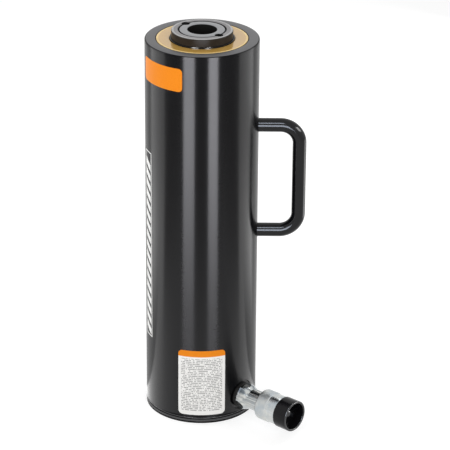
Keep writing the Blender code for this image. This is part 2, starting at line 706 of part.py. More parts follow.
def add_piston_rings(axis):
    """Seals and bearings that ride in the piston's grooves, outside and inside."""
    outer = BORE_RADIUS - RUNNING_GAP
    inner = TUBE_RADIUS + RUNNING_GAP
    seal_low = PISTON_BOTTOM + PISTON_SEAL_RISE + SEAT_GAP
    backup_low = seal_low + PISTON_SEAL_HEIGHT + SEAT_GAP
    band_low = PISTON_BOTTOM + PISTON_BEARING_RISE + SEAT_GAP
    lip_low = PISTON_BOTTOM + INNER_SEAL_RISE + SEAT_GAP
    guide_low = PISTON_BOTTOM + INNER_BEARING_RISE + SEAT_GAP
    seal_inner = outer - PISTON_SEAL_DEPTH + SEAT_GAP
    band_inner = outer - PISTON_BEARING_DEPTH + SEAT_GAP
    rubber = ((0.02, 0.02, 0.022), 0.6, 0.0)
    white = ((0.75, 0.74, 0.70), 0.5, 0.0)
    brown = ((0.22, 0.12, 0.06), 0.5, 0.0)
    rings = [
        ("piston_seal", seal_inner, outer, seal_low, PISTON_SEAL_HEIGHT, rubber),
        ("piston_backup_ring", seal_inner, outer, backup_low, BACKUP_RING_HEIGHT, white),
        ("piston_bearing", band_inner, outer, band_low, PISTON_BEARING_HEIGHT, brown),
        ("inner_seal", inner, inner + INNER_SEAL_DEPTH - SEAT_GAP, lip_low,
         INNER_SEAL_HEIGHT, rubber),
        ("inner_bearing", inner, inner + INNER_BEARING_DEPTH - SEAT_GAP, guide_low,
         INNER_BEARING_HEIGHT, brown),
    ]
    for name, near, far, low, height, finish in rings:
        profile = ring_profile(near, far, low, low + height)
        add_solid(name, turned(profile, INNER_SIDES), axis, finish)


def add_return_spring(axis):
    mean_radius = (BORE_RADIUS + PLUNGER_RADIUS) / 2
    bm = coil(PISTON_TOP + SEAT_GAP, STOP_RING_BOTTOM - SEAT_GAP, mean_radius,
              SPRING_WIRE_RADIUS, SPRING_TURNS, 14, 5)
    return add_solid("return_spring", bm, axis, ((0.20, 0.21, 0.22), 0.35, 1.0))


def handle_heights():
    return (HANDLE_TOP_HEIGHT, HANDLE_TOP_HEIGHT - HANDLE_LEG_SPACING)


def add_handle(axis):
    """D shaped bar whose two legs seat in the body's blind sockets."""
    top, bottom = handle_heights()
    root = BODY_RADIUS - HANDLE_SOCKET_DEPTH + SEAT_GAP
    grip = HANDLE_REACH - HANDLE_BAR_RADIUS
    bend = HANDLE_BEND_RADIUS
    steps = 7
    points = [Vector((root, 0.0, top))]
    for index in range(steps + 1):
        turn = pi / 2 * index / steps
        points.append(Vector((grip - bend + bend * sin(turn), 0.0,
                              top - bend + bend * cos(turn))))
    for index in range(steps + 1):
        turn = pi / 2 * index / steps
        points.append(Vector((grip - bend + bend * cos(turn), 0.0,
                              bottom + bend - bend * sin(turn))))
    points.append(Vector((root, 0.0, bottom)))
    normals = [Vector((0.0, 1.0, 0.0))] * len(points)
    bm = swept(points, normals, HANDLE_BAR_RADIUS, 14)
    return add_solid("handle", bm, axis, ((0.012, 0.012, 0.014), 0.3, 0.4))


def add_port_seal(coupler_axis):
    low = SPOT_FACE + SEAT_GAP
    profile = ring_profile(PORT_RADIUS, PORT_SEAL_RADIUS, low, low + PORT_SEAL_THICKNESS)
    return add_solid("port_seal", turned(profile, COUPLER_SIDES), coupler_axis,
                     ((0.02, 0.02, 0.02), 0.6, 0.0))


def hex_sleeve(across_flats, outer_radius, low, high):
    """Ring with a round outside and a hexagonal hole, to cut flats on a turned piece."""
    bm = bmesh.new()
    sides = COUPLER_SIDES
    rings = []
    for height in (low, high):
        inner = []
        outer = []
        for step in range(sides):
            angle = tau * step / sides
            lean = (angle + pi / 6) % (pi / 3) - pi / 6
            reach = across_flats / 2 / cos(lean)
            inner.append(bm.verts.new((reach * cos(angle), reach * sin(angle), height)))
            outer.append(bm.verts.new((outer_radius * cos(angle),
                                       outer_radius * sin(angle), height)))
        rings.append((inner, outer))
    (in_low, out_low), (in_high, out_high) = rings
    for step in range(sides):
        after = (step + 1) % sides
        bm.faces.new((in_low[step], in_low[after], in_high[after], in_high[step]))
        bm.faces.new((out_low[step], out_low[after], out_high[after], out_high[step]))
        bm.faces.new((in_low[step], in_low[after], out_low[after], out_low[step]))
        bm.faces.new((in_high[step], in_high[after], out_high[after], out_high[step]))
    return bm


def add_coupler_body(coupler_axis):
    """Hex, neck and nose in one turned piece, bored right through for the oil."""
    shank = PORT_RADIUS - SEAT_GAP
    shank_end = SPOT_FACE - PORT_DEPTH + SEAT_GAP
    corner = HEX_ACROSS_FLATS / 2 / cos(pi / 6) - HEX_CORNER_RELIEF
    edge = 1.0 * MM
    groove = NECK_RADIUS - RETAINER_DEPTH
    chamber_back = NOSE_FRONT - VALVE_LIP - SEAT_CONE - VALVE_CHAMBER_LENGTH
    profile = [
        (OIL_HOLE_RADIUS, shank_end),
        (shank - edge, shank_end),
        (shank, shank_end + edge),
        (shank, HEX_BACK),
        (corner - 2 * edge, HEX_BACK),
        (corner, HEX_BACK + edge),
        (corner, HEX_TAPER_START),
        (NECK_RADIUS, NECK_START),
        (NECK_RADIUS, RETAINER_START),
        (groove, RETAINER_START),
        (groove, NOSE_START),
        (NECK_RADIUS, NOSE_START),
        (NECK_RADIUS, NOSE_START + 2 * edge),
        (NOSE_RADIUS, NOSE_START + 4 * edge),
        (NOSE_RADIUS, NOSE_FRONT - edge),
        (NOSE_RADIUS - edge, NOSE_FRONT),
        (VALVE_MOUTH_RADIUS, NOSE_FRONT),
        (VALVE_MOUTH_RADIUS, NOSE_FRONT - VALVE_LIP),
        (VALVE_CHAMBER_RADIUS, NOSE_FRONT - VALVE_LIP - SEAT_CONE),
        (VALVE_CHAMBER_RADIUS, chamber_back),
        (OIL_HOLE_RADIUS, chamber_back),
    ]
    body = add_solid("coupler_body", turned(profile, COUPLER_SIDES), coupler_axis,
                     ((0.55, 0.56, 0.53), 0.28, 1.0))
    sleeve = hex_sleeve(HEX_ACROSS_FLATS, corner + 4 * edge, HEX_BACK - SEAT_GAP / 2,
                        NECK_START)
    tool = add_solid("hex_cut", sleeve, coupler_axis)
    combine(body, tool, "DIFFERENCE")
    return body


def add_collar_retainer(coupler_axis):
    inner = NECK_RADIUS - RETAINER_DEPTH + SEAT_GAP
    outer = COLLAR_BAND_RADIUS - COLLAR_WALL - SEAT_GAP
    low = RETAINER_START + SEAT_GAP
    profile = ring_profile(inner, outer, low, low + RETAINER_WIDTH)
    return add_solid("collar_retainer", turned(profile, COUPLER_SIDES), coupler_axis,
                     ((0.35, 0.35, 0.36), 0.35, 1.0))


def add_coupler_collar(coupler_axis):
    """Free turning sleeve; its back web is caught behind the retaining ring."""
    bore = NECK_RADIUS + RUNNING_GAP
    cavity = COLLAR_BAND_RADIUS - COLLAR_WALL
    web_front = RETAINER_START - RUNNING_GAP / 2
    step = COLLAR_BACK + COLLAR_GRIP_LENGTH
    back = COLLAR_BACK_EDGE
    drop = COLLAR_RADIUS - COLLAR_BAND_RADIUS
    front = COLLAR_WALL / 4
    profile = [
        (bore, COLLAR_BACK),
        (COLLAR_RADIUS - back, COLLAR_BACK),
        (COLLAR_RADIUS, COLLAR_BACK + back),
        (COLLAR_RADIUS, step),
        (COLLAR_BAND_RADIUS, step + drop),
        (COLLAR_BAND_RADIUS, COLLAR_FRONT - front),
        (COLLAR_BAND_RADIUS - front, COLLAR_FRONT),
        (cavity, COLLAR_FRONT),
        (cavity, web_front),
        (bore, web_front),
    ]
    return add_solid("coupler_collar", turned(profile, COUPLER_SIDES), coupler_axis,
                     ((0.58, 0.59, 0.56), 0.25, 1.0))


def valve_stations():
    seat_front = NOSE_FRONT - VALVE_LIP
    cone_back = seat_front - SEAT_CONE - 0.5 * MM
    head_back = cone_back - POPPET_HEAD_LENGTH
    stem_back = head_back - POPPET_STEM_LENGTH
    return seat_front, cone_back, head_back, stem_back


def add_coupler_poppet(coupler_axis):
    """Valve head that closes the nose from inside, with its nub in the mouth."""
    seat_front, cone_back, head_back, stem_back = valve_stations()
    head = VALVE_CHAMBER_RADIUS - SEAT_GAP
    nub = VALVE_MOUTH_RADIUS - SEAT_GAP
    tip = NOSE_FRONT + POPPET_PROUD
    profile = [
        (0.0, stem_back),
        (POPPET_STEM_RADIUS, stem_back),
        (POPPET_STEM_RADIUS, head_back),
        (head, head_back),
        (head, cone_back),
        (nub, seat_front - 0.5 * MM),
        (nub, tip - 0.6 * MM),
        (nub - 0.6 * MM, tip),
        (0.0, tip),
    ]
    return add_solid("coupler_poppet", turned(profile, 16), coupler_axis,
                     ((0.50, 0.50, 0.50), 0.3, 1.0))


def add_poppet_spring(coupler_axis):
    head_back = valve_stations()[2]
    chamber_back = NOSE_FRONT - VALVE_LIP - SEAT_CONE - VALVE_CHAMBER_LENGTH
    mean_radius = (VALVE_CHAMBER_RADIUS + OIL_HOLE_RADIUS) / 2
    bm = coil(chamber_back + SEAT_GAP, head_back - SEAT_GAP, mean_radius,
              POPPET_SPRING_WIRE_RADIUS, POPPET_SPRING_TURNS, 10, 4)
    return add_solid("poppet_spring", bm, coupler_axis, ((0.4, 0.4, 0.4), 0.3, 1.0))


def add_dust_cap(coupler_axis):
    """Push-in cap: a plug ring that grips inside the collar, a web, a ribbed recess."""
    plug = COLLAR_BAND_RADIUS - COLLAR_WALL - SEAT_GAP
    recess = CAP_RADIUS - CAP_RIM
    hub_front = CAP_WEB_FRONT + CAP_HUB_HEIGHT
    edge = CAP_EDGE
    profile = [
        (0.0, CAP_WEB_BACK),
        (plug - CAP_PLUG_WALL, CAP_WEB_BACK),
        (plug - CAP_PLUG_WALL, CAP_PLUG_BACK),
        (plug, CAP_PLUG_BACK),
        (plug, CAP_WEB_BACK),
        (CAP_RADIUS - edge, CAP_WEB_BACK),
        (CAP_RADIUS, CAP_WEB_BACK + edge),
        (CAP_RADIUS, CAP_FRONT - edge),
        (CAP_RADIUS - edge, CAP_FRONT),
        (recess + edge / 2, CAP_FRONT),
        (recess, CAP_FRONT - edge / 2),
        (recess, CAP_WEB_FRONT),
        (CAP_HUB_RADIUS, CAP_WEB_FRONT),
        (CAP_HUB_RADIUS, hub_front),
        (0.0, hub_front),
    ]
    cap = add_solid("dust_cap", turned(profile, COUPLER_SIDES), coupler_axis,
                    ((0.018, 0.018, 0.02), 0.35, 0.0))
    half = CAP_RIB_WIDTH / 2
    arm = recess + CAP_RIM / 3
    cross = [(arm, -half), (arm, half), (half, half), (half, arm), (-half, arm), (-half, half),
             (-arm, half), (-arm, -half), (-half, -half), (-half, -arm), (half, -arm),
             (half, -half)]
    ribs = prism(cross, CAP_WEB_BACK + CAP_WEB / 2, CAP_WEB_FRONT + CAP_RIB_HEIGHT)
    tool = add_solid("cap_ribs", ribs, coupler_axis)
    combine(cap, tool, "UNION")
    return cap


def build():
    clear_scene()
    axis = add_axis("cylinder_axis", (AXIS_X, AXIS_Y, 0.0))
    plunger_axis = add_axis("plunger_axis", (AXIS_X, AXIS_Y, 0.0))
    coupler_axis = add_axis("coupler_axis", (AXIS_X, AXIS_Y, COUPLER_HEIGHT),
                            (0.0, pi / 2, COUPLER_ANGLE))
    add_base_plate(axis)
    add_base_screws(axis)
    add_cylinder_body(axis, coupler_axis)
    add_center_tube(axis)
    add_tube_seal(axis)
    add_stop_ring(axis)
    add_lock_screw(axis)
    add_rod_wiper(axis)
    add_gland_bearing(axis)
    add_return_spring(axis)
    add_handle(axis)
    add_plunger(plunger_axis)
    add_saddle(plunger_axis)
    add_piston(plunger_axis)
    add_piston_rings(plunger_axis)
    add_port_seal(coupler_axis)
    add_coupler_body(coupler_axis)
    add_collar_retainer(coupler_axis)
    add_coupler_collar(coupler_axis)
    add_coupler_poppet(coupler_axis)
    add_poppet_spring(coupler_axis)
    add_dust_cap(coupler_axis)


build()
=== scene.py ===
import math

import bmesh
import bpy
import numpy as np
from mathutils import Matrix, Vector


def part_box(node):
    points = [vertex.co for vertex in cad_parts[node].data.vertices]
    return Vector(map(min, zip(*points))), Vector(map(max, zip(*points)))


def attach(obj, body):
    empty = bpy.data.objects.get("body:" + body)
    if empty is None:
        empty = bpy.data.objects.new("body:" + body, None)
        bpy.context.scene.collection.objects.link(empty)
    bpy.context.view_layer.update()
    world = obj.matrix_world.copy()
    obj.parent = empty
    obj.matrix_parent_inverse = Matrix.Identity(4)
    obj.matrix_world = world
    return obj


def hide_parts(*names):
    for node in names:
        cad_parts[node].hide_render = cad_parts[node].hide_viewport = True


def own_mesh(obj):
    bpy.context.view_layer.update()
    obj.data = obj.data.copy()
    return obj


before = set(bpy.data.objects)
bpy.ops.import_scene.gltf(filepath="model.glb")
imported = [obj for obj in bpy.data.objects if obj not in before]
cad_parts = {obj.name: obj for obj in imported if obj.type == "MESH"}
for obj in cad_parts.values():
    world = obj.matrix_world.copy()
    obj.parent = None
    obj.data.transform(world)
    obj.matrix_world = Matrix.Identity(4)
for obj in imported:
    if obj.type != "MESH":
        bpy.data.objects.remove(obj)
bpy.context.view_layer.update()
mm = 0.001
tau = 2 * math.pi


def nodeBox(name):
    low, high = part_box(name)
    return np.array(low), np.array(high)


bodyLow, bodyHigh = nodeBox("cylinder_body")
axisPoint = np.array([*(bodyLow[:2] + bodyHigh[:2]) / 2, 0.0])     # the foot of the cylinder's own axis
bodyRadius = (bodyHigh[0] - bodyLow[0]) / 2
bodyFoot, bodyTop = bodyLow[2], bodyHigh[2]
handleHeights = (353 * mm, 222 * mm)                 # the handle's two legs

couplerTurn = math.radians(-41.0)                    # the coupler points this far round from the handle
couplerOut = np.array([math.cos(couplerTurn), math.sin(couplerTurn), 0.0])
couplerAcross = np.array([-couplerOut[1], couplerOut[0], 0.0])
couplerStart = axisPoint + np.array([0.0, 0.0, 27 * mm])
upward = np.array([0.0, 0.0, 1.0])
print("frame loaded:", len(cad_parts), "nodes")


def roundedProfile(corners, steps=5, closed=False):
    # Corners are (radius, height, fillet). Each fillet is an arc tangent to both legs:
    # its centre lies on the corner's bisector at fillet / sin(half the corner's angle).
    pts = np.array([(r, h) for r, h, _ in corners], float)
    out = []
    count = len(pts)
    for i, (r, h, fillet) in enumerate(corners):
        ends = not closed and i in (0, count - 1)
        if fillet <= 0 or ends:
            out.append(pts[i][None])
            continue
        here = pts[i]
        toBack, toNext = pts[i - 1] - here, pts[(i + 1) % count] - here
        lb, ln = np.linalg.norm(toBack), np.linalg.norm(toNext)
        toBack, toNext = toBack / lb, toNext / ln
        half = math.acos(np.clip(toBack @ toNext, -1, 1)) / 2
        cut = min(fillet / math.tan(half), 0.49 * lb, 0.49 * ln)
        radius = cut * math.tan(half)
        bisector = (toBack + toNext) / np.linalg.norm(toBack + toNext)
        middle = here + bisector * radius / math.sin(half)
        first, last = here + toBack * cut - middle, here + toNext * cut - middle
        swing = math.acos(np.clip(first @ last / radius ** 2, -1, 1))
        t = np.linspace(0, 1, steps + 1)[:, None]
        out.append(middle + (np.sin((1 - t) * swing) * first + np.sin(t * swing) * last) / math.sin(swing))
    return np.concatenate(out)


def divided(profile, longest):
    # The same profile with every leg longer than the given length cut into equal parts.
    out = [profile[:1]]
    for a, b in zip(profile, profile[1:]):
        parts = max(1, math.ceil(np.linalg.norm(b - a) / longest - 1e-9))
        out.append(a + (b - a) * (np.arange(1, parts + 1) / parts)[:, None])
    return np.concatenate(out)


def inMetres(corners):
    return [tuple(v * mm for v in corner) for corner in corners]


def anglesRound(columns):
    return tau * np.arange(columns) / columns


def onCircle(u):
    return np.stack([np.cos(u), np.sin(u)], -1)


def fromRows(rows, u):
    # Point = (r cos u, r sin u, h). Each row's r and h are numbers, or change with the angle u.
    rows = [(r + 0 * u, h + 0 * u) for r, h in rows]
    return np.stack([np.stack([r * np.cos(u), r * np.sin(u), h], -1) for r, h in rows])


def spun(profile, columns):
    # A profile of (radius, height) turned round the axis.
    return fromRows(profile, anglesRound(columns))


def ontoBody(points):
    return points + axisPoint


def ontoCoupler(points):
    # Local height runs out along the coupler, local x is downwards as on the CAD's own axis.
    return (couplerStart + points[..., 2:] * couplerOut - points[..., :1] * upward
            + points[..., 1:2] * couplerAcross)


def gridFaces(rows, columns, wrap, start=0):
    # Quads between neighbours of a rows x columns grid, the last column joined to the first on a wrap.
    r = np.arange(rows - 1)[:, None]
    c = np.arange(columns if wrap else columns - 1)[None]
    n = (c + 1) % columns
    quads = np.stack([r * columns + c, r * columns + n, (r + 1) * columns + n, (r + 1) * columns + c], -1)
    return quads.reshape(-1, 4) + start


def makePiece(name, sheets, body, node, materials, sharp=28):
    # Each sheet is a grid of points whose last column joins its first, or (grid, skipped cells,
    # material of each row). They are joined where their edges meet, and the faces turned outwards.
    points, faces, kinds = [], [], []
    start = 0
    for sheet in sheets:
        grid, skipped, kind = sheet if isinstance(sheet, tuple) else (sheet, None, None)
        rows, columns = grid.shape[:2]
        keep = np.full((rows - 1) * columns, True) if skipped is None else ~skipped.ravel()
        kind = np.zeros(rows - 1, int) if kind is None else kind
        points.append(grid.reshape(-1, 3))
        faces.append(gridFaces(rows, columns, True, start)[keep])
        kinds.append(np.repeat(kind, columns)[keep])
        start += rows * columns
    mesh = bpy.data.meshes.new(name)
    mesh.from_pydata(np.concatenate(points), [], np.concatenate(faces))
    mesh.polygons.foreach_set("material_index", np.concatenate(kinds).astype(np.int32))
    bm = bmesh.new()
    bm.from_mesh(mesh)
    bmesh.ops.remove_doubles(bm, verts=bm.verts, dist=2e-6)
    bmesh.ops.recalc_face_normals(bm, faces=bm.faces)
    openEdges = sum(1 for e in bm.edges if len(e.link_faces) != 2)
    bm.to_mesh(mesh)
    bm.free()
    mesh.shade_smooth()
    mesh.set_sharp_from_angle(angle=math.radians(sharp))
    for material in materials:
        mesh.materials.append(material)
    piece = bpy.data.objects.new(name, mesh)
    bpy.context.scene.collection.objects.link(piece)
    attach(piece, body)
    if node:
        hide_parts(node)
    if openEdges:
        print("  open edges on", name, openEdges)
    return piece


def windowLoop(grid, rows, columns):
    # The grid points round a rectangular window, once round, as one array.
    (i0, i1), (j0, j1) = rows, columns
    tall, wide = i1 - i0, j1 - j0
    i = np.concatenate([np.full(wide, i0), np.arange(i0, i1), np.full(wide, i1), np.arange(i1, i0, -1)])
    j = np.concatenate([np.arange(j0, j1), np.full(tall, j1), np.arange(j1, j0, -1), np.full(tall, j0)])
    return grid[i, j % grid.shape[1]]


def roundHole(edge, centre, out, side, surface, profile, slides=4):
    # A hole's own mesh. In the plane across its axis a point slides in a straight line from the
    # window's edge to a circle, lifted onto the surface, and then follows the hole's profile of
    # (radius, distance along the axis) down to the middle.
    up = np.cross(out, side)
    s, t = (edge - centre) @ side, (edge - centre) @ up
    angle = np.arctan2(t, s)
    c, n = np.cos(angle), np.sin(angle)
    first = profile[0][0]
    stages = [(s + (first * c - s) * k, t + (first * n - t) * k, surface)
              for k in np.arange(1, slides + 1) / slides]
    stages += [(radius * c, radius * n, depth) for radius, depth in profile[1:]]
    rings = [edge]
    for a, b, depth in stages:
        along = depth(a, b) if callable(depth) else np.full(len(a), depth)
        rings.append(centre + a[:, None] * side + b[:, None] * up + along[:, None] * out)
    return np.stack(rings)


def carried(path, across, ring):
    # A flat ring of (a, b) offsets carried along a path: point + a * across + b * (tangent x across).
    across = np.broadcast_to(across, path.shape)
    ahead = np.gradient(path, axis=0)
    ahead /= np.linalg.norm(ahead, axis=1)[:, None]
    third = np.cross(ahead, across)
    return path[:, None] + ring[None, :, :1] * across[:, None] + ring[None, :, 1:] * third[:, None]


def capped(rings):
    # Closes a tube by shrinking its first and last ring onto their own middles.
    first, last = rings[:1].mean(1, keepdims=True), rings[-1:].mean(1, keepdims=True)
    return np.concatenate([np.repeat(first, rings.shape[1], 1), rings, np.repeat(last, rings.shape[1], 1)])


class Field:
    # One output of a material's nodes, with arithmetic.

    def __init__(self, tree, out):
        self.tree, self.out = tree, out

    def node(self, kind, settings=None, sockets=None, output=0):
        made = self.tree.nodes.new(kind)
        for key, value in (settings or {}).items():
            setattr(made, key, value)
        for key, value in (sockets or {}).items():
            socket = made.inputs[key]
            if isinstance(value, Field):
                self.tree.links.new(value.out, socket)
            else:
                socket.default_value = value
        return Field(self.tree, made.outputs[output])

    def maths(self, operation, other=None, flipped=False, clamp=False):
        if self.out.type == "VECTOR" or (isinstance(other, Field) and other.out.type == "VECTOR"):
            kind, settings = "ShaderNodeVectorMath", {"operation": operation}
            if not isinstance(other, Field) and other is not None and not hasattr(other, "__len__"):
                other = (other, other, other)
        else:
            kind, settings = "ShaderNodeMath", {"operation": operation, "use_clamp": clamp}
        pair = [self] if other is None else ([other, self] if flipped else [self, other])
        return self.node(kind, settings, dict(enumerate(pair)))

    def __add__(self, other): return self.maths("ADD", other)
    def __radd__(self, other): return self.maths("ADD", other, True)
    def __sub__(self, other): return self.maths("SUBTRACT", other)
    def __rsub__(self, other): return self.maths("SUBTRACT", other, True)
    def __mul__(self, other): return self.maths("MULTIPLY", other)
    def __rmul__(self, other): return self.maths("MULTIPLY", other, True)
    def __truediv__(self, other): return self.maths("DIVIDE", other)
    def __rtruediv__(self, other): return self.maths("DIVIDE", other, True)
    def __gt__(self, other): return self.maths("GREATER_THAN", other)
    def __lt__(self, other): return self.maths("LESS_THAN", other)

    def most(self, other): return self.maths("MAXIMUM", other)
    def held(self): return self.maths("ADD", 0.0, clamp=True)

    def ramp(self, low, high):
        # 0 below low, 1 above high and a straight line between.
        return self.node("ShaderNodeMapRange", {"clamp": True},
                         {"Value": self, "From Min": low, "From Max": high})

    def blend(self, start, end):
        # Mix of two colours by this factor.
        return self.node("ShaderNodeMix", {"data_type": "RGBA"},
                         {0: self, 6: colour(start), 7: colour(end)}, 2)

    def part(self, axis):
        return self.node("ShaderNodeSeparateXYZ", None, {0: self}, "XYZ".index(axis))


def colour(value):
    return value if isinstance(value, Field) else (*value[:3], 1.0)


def fromScreen(red, green, blue):
    # A colour picked on the screen, 0 to 255, as the linear colour that a node takes.
    v = np.array([red, green, blue]) / 255
    return tuple(np.where(v <= 0.04045, v / 12.92, ((v + 0.055) / 1.055) ** 2.4))


class Finish:
    # A Principled material that is built up one socket at a time.

    def __init__(self, name):
        self.material = bpy.data.materials.new(name)
        self.material.use_nodes = True
        self.tree = self.material.node_tree
        self.shader = self.tree.nodes["Principled BSDF"]
        self.place = Field(self.tree, self.tree.nodes.new("ShaderNodeTexCoord").outputs["Object"])

    def set(self, **sockets):
        for key, value in sockets.items():
            socket = self.shader.inputs[key.replace("_", " ")]
            if isinstance(value, Field):
                self.tree.links.new(value.out, socket)
            else:
                socket.default_value = colour(value) if hasattr(value, "__len__") else value

    def centred(self, centre, turn=(0, 0, 0)):
        # Object coordinates measured from a centre and then turned.
        moved = self.place - tuple(centre)
        return moved.node("ShaderNodeMapping", {"vector_type": "POINT"}, {"Vector": moved, "Rotation": turn})

    def noise(self, place, scale, detail=3.0, roughness=0.55):
        return place.node("ShaderNodeTexNoise", None,
                          {"Vector": place, "Scale": scale, "Detail": detail, "Roughness": roughness})

    def bump(self, height, strength, distance):
        self.set(Normal=height.node("ShaderNodeBump", None, {
            "Height": height, "Strength": strength, "Distance": distance}))


toCoupler = (0.0, 0.0, -couplerTurn)                 # turns the coupler's axis onto X
alongWall = 0.25                                     # turns stretched gloss to run up and down

# The black wall. Fine turning lines run round it, so its gloss spreads up and down.
wallLook = {"colour": (0.0026, 0.0025, 0.0032), "shades": (0.8, 1.25), "ior": 1.19, "lineScale": 700,
            "lineSpread": 11, "lineDepth": 0.36, "lineHeight": 0.00006, "roughness": 0.25,
            "roughnessSwing": 0.08, "smearScale": 16.0, "smears": 0.04, "stretch": 0.96}


def turnedLines(finish, place, look):
    # noise squeezed along the axis: value = n(x spread, y spread, z scale), two sizes added
    spread, scale = look["lineSpread"], look["lineScale"]
    fine = finish.noise(place * (spread, spread, scale), 1.0, 2.0)
    broad = finish.noise(place * (spread / 2, spread / 2, scale / 5), 1.0, 3.0)
    return fine * 0.6 + broad * 0.4


def anodised(name, look):
    finish = Finish(name)
    place = finish.centred(axisPoint)
    lines = turnedLines(finish, place, look)
    smears = finish.noise(place, look["smearScale"], 4.0, 0.6)
    tone = (lines - 0.5) * 0.5 + 0.5
    base = tone.blend(*([c * shade for c in look["colour"]] for shade in look["shades"]))
    rough = (lines - 0.5) * look["roughnessSwing"] + (smears - 0.5) * look["smears"] + look["roughness"]
    finish.set(Base_Color=base, Roughness=rough.held(), IOR=look["ior"],
               Anisotropic=look["stretch"], Anisotropic_Rotation=alongWall)
    finish.bump(lines, look["lineDepth"], look["lineHeight"])
    return finish.material


# Turned metal, with rings on the faces cut across the axis and lines on the others
turnedLook = {"ringScale": 1500, "lineSpread": 4, "lineScale": 700, "cloudScale": 60.0, "blotch": 0.3,
              "depth": 0.12, "height": 0.00005}


def ringLines(finish, place, scale):
    # value = n(distance from the axis times scale), the same all the way round
    away = place * (1, 1, 0)
    far = away.node("ShaderNodeVectorMath", {"operation": "LENGTH"}, {0: away}, "Value")
    return finish.noise(far.node("ShaderNodeCombineXYZ", None, {"X": far * scale}), 1.0, 3.0)


def turnedMetal(name, colours, roughness, swing, stretch, metallic=1.0, ior=1.5, look=turnedLook):
    finish = Finish(name)
    place = finish.centred(axisPoint)
    grain = ringLines(finish, place, look["ringScale"]) * 0.5 + turnedLines(finish, place, look) * 0.5
    cloud = finish.noise(place, look["cloudScale"], 4.0, 0.6)
    tone = grain * (1 - look["blotch"]) + cloud * look["blotch"]
    finish.set(Base_Color=tone.ramp(0.25, 0.75).blend(*colours), Metallic=metallic, IOR=ior,
               Roughness=((grain - 0.5) * swing + (cloud - 0.5) * swing * 0.5 + roughness).held(),
               Anisotropic=stretch, Anisotropic_Rotation=alongWall)
    finish.bump(grain, look["depth"], look["height"])
    return finish.material


def speckled(name, colours, roughness, scale, swing=0.08, metallic=0.0, bump=0.1, distance=0.0001, **more):
    # two sizes of noise, the broad one twelve times the fine one
    finish = Finish(name)
    fine = finish.noise(finish.place, scale, 5.0, 0.6)
    broad = finish.noise(finish.place, scale / 12, 3.0, 0.5)
    tone = fine * 0.5 + broad * 0.5
    finish.set(Base_Color=tone.ramp(0.3, 0.7).blend(*colours), Metallic=metallic,
               Roughness=((fine - 0.5) * swing + (broad - 0.5) * swing + roughness).held(), **more)
    finish.bump(fine, bump, distance)
    return finish.material


# Each finish has its darkest and lightest colour, its roughness, and for turned metal how far
# that swings and how far the gloss is stretched, or else the size of its speckle
wallFinish = anodised("anodisedWall", wallLook)
rimFinish = turnedMetal("anodisedRim", [(0.050, 0.050, 0.053), (0.085, 0.085, 0.09)], 0.34, 0.10, 0.3,
                        metallic=0.35)
goldFinish = turnedMetal("goldRing", [(0.47, 0.27, 0.055), (0.60, 0.36, 0.085)], 0.13, 0.06, 0.4,
                         metallic=0.1, ior=2.3)
plungerFinish = turnedMetal("plungerSteel", [(0.013, 0.0095, 0.0065), (0.036, 0.028, 0.0205)],
                            0.34, 0.12, 0.6, metallic=0.0, ior=1.16)
plungerTopFinish = turnedMetal("plungerFace", [(0.16, 0.155, 0.16), (0.27, 0.26, 0.265)], 0.22, 0.12, 0.4)
# painted highlight: a lighter gold laid on the stop ring's upper outer edge
goldHighlight = speckled("goldHighlight", [(0.62, 0.42, 0.13), (0.80, 0.58, 0.22)], 0.25, 900, IOR=1.6)
# painted highlight: a light grey laid on the plunger's upper top edge
plungerEdgeHighlight = speckled("plungerEdgeHighlight", [(0.30, 0.30, 0.30), (0.42, 0.42, 0.42)], 0.3, 900, metallic=0.6)
# painted shade: a near-black finish laid on seams, gaps, socket walls and bores where shade falls
grooveShade = turnedMetal("paintedGrooveShade", [(0.004, 0.004, 0.004), (0.016, 0.016, 0.016)], 0.4, 0.12, 0.3,
                           metallic=0.0, ior=1.2)
saddleFinish = turnedMetal("saddleSteel", [(0.21, 0.215, 0.225), (0.33, 0.335, 0.345)], 0.22, 0.12, 0.4)
# painted shade: near-black laid in the saddle's hole and on its underside
holeShade = turnedMetal("paintedHoleShade", [(0.004, 0.004, 0.004), (0.014, 0.0135, 0.013)], 0.42, 0.12, 0.4,
                         metallic=0.0, ior=1.14)
tubeFinish = turnedMetal("honedTube", [(0.26, 0.27, 0.29), (0.36, 0.37, 0.39)], 0.26, 0.1, 0.5)
pistonFinish = turnedMetal("pistonSteel", [(0.36, 0.37, 0.39), (0.5, 0.51, 0.53)], 0.32, 0.1, 0.5)
springFinish = speckled("springSteel", [(0.12, 0.13, 0.14), (0.22, 0.23, 0.24)], 0.38, 900, metallic=1.0)
rubberFinish = speckled("sealRubber", [(0.004, 0.004, 0.004), (0.009, 0.009, 0.009)], 0.22, 1400, 0.1,
                        IOR=1.34)
wiperFinish = speckled("wiperRubber", [(0.003, 0.003, 0.003), (0.007, 0.007, 0.007)], 0.13, 1400, 0.05,
                       bump=0.02, IOR=1.24)
backupFinish = speckled("backupRing", [(0.66, 0.65, 0.60), (0.78, 0.77, 0.73)], 0.5, 900)
bearingFinish = speckled("bearingFabric", [(0.16, 0.08, 0.04), (0.27, 0.15, 0.08)], 0.55, 1600)
plateFinish = speckled("plateSteel", [(0.055, 0.055, 0.057), (0.085, 0.085, 0.088)], 0.34, 500, IOR=1.3)
plateShade = speckled("plateShade", [(0.003, 0.003, 0.003), (0.006, 0.006, 0.006)], 0.5, 500, IOR=1.05)
boltFinish = speckled("blackedBolt", [(0.03, 0.03, 0.032), (0.07, 0.07, 0.075)], 0.4, 1200, metallic=0.9)
brightBolt = speckled("brightBolt", [(0.16, 0.16, 0.17), (0.30, 0.30, 0.31)], 0.34, 1200, metallic=1.0)
handleFinish = speckled("handleEnamel", [(0.002, 0.002, 0.0025), (0.005, 0.005, 0.006)], 0.13, 420, 0.05,
                        bump=0.03, distance=0.00004, IOR=1.34)
capFinish = speckled("capPlastic", [(0.003, 0.003, 0.0035), (0.008, 0.008, 0.009)], 0.15, 700, 0.06,
                     bump=0.05, distance=0.00004, IOR=1.27)
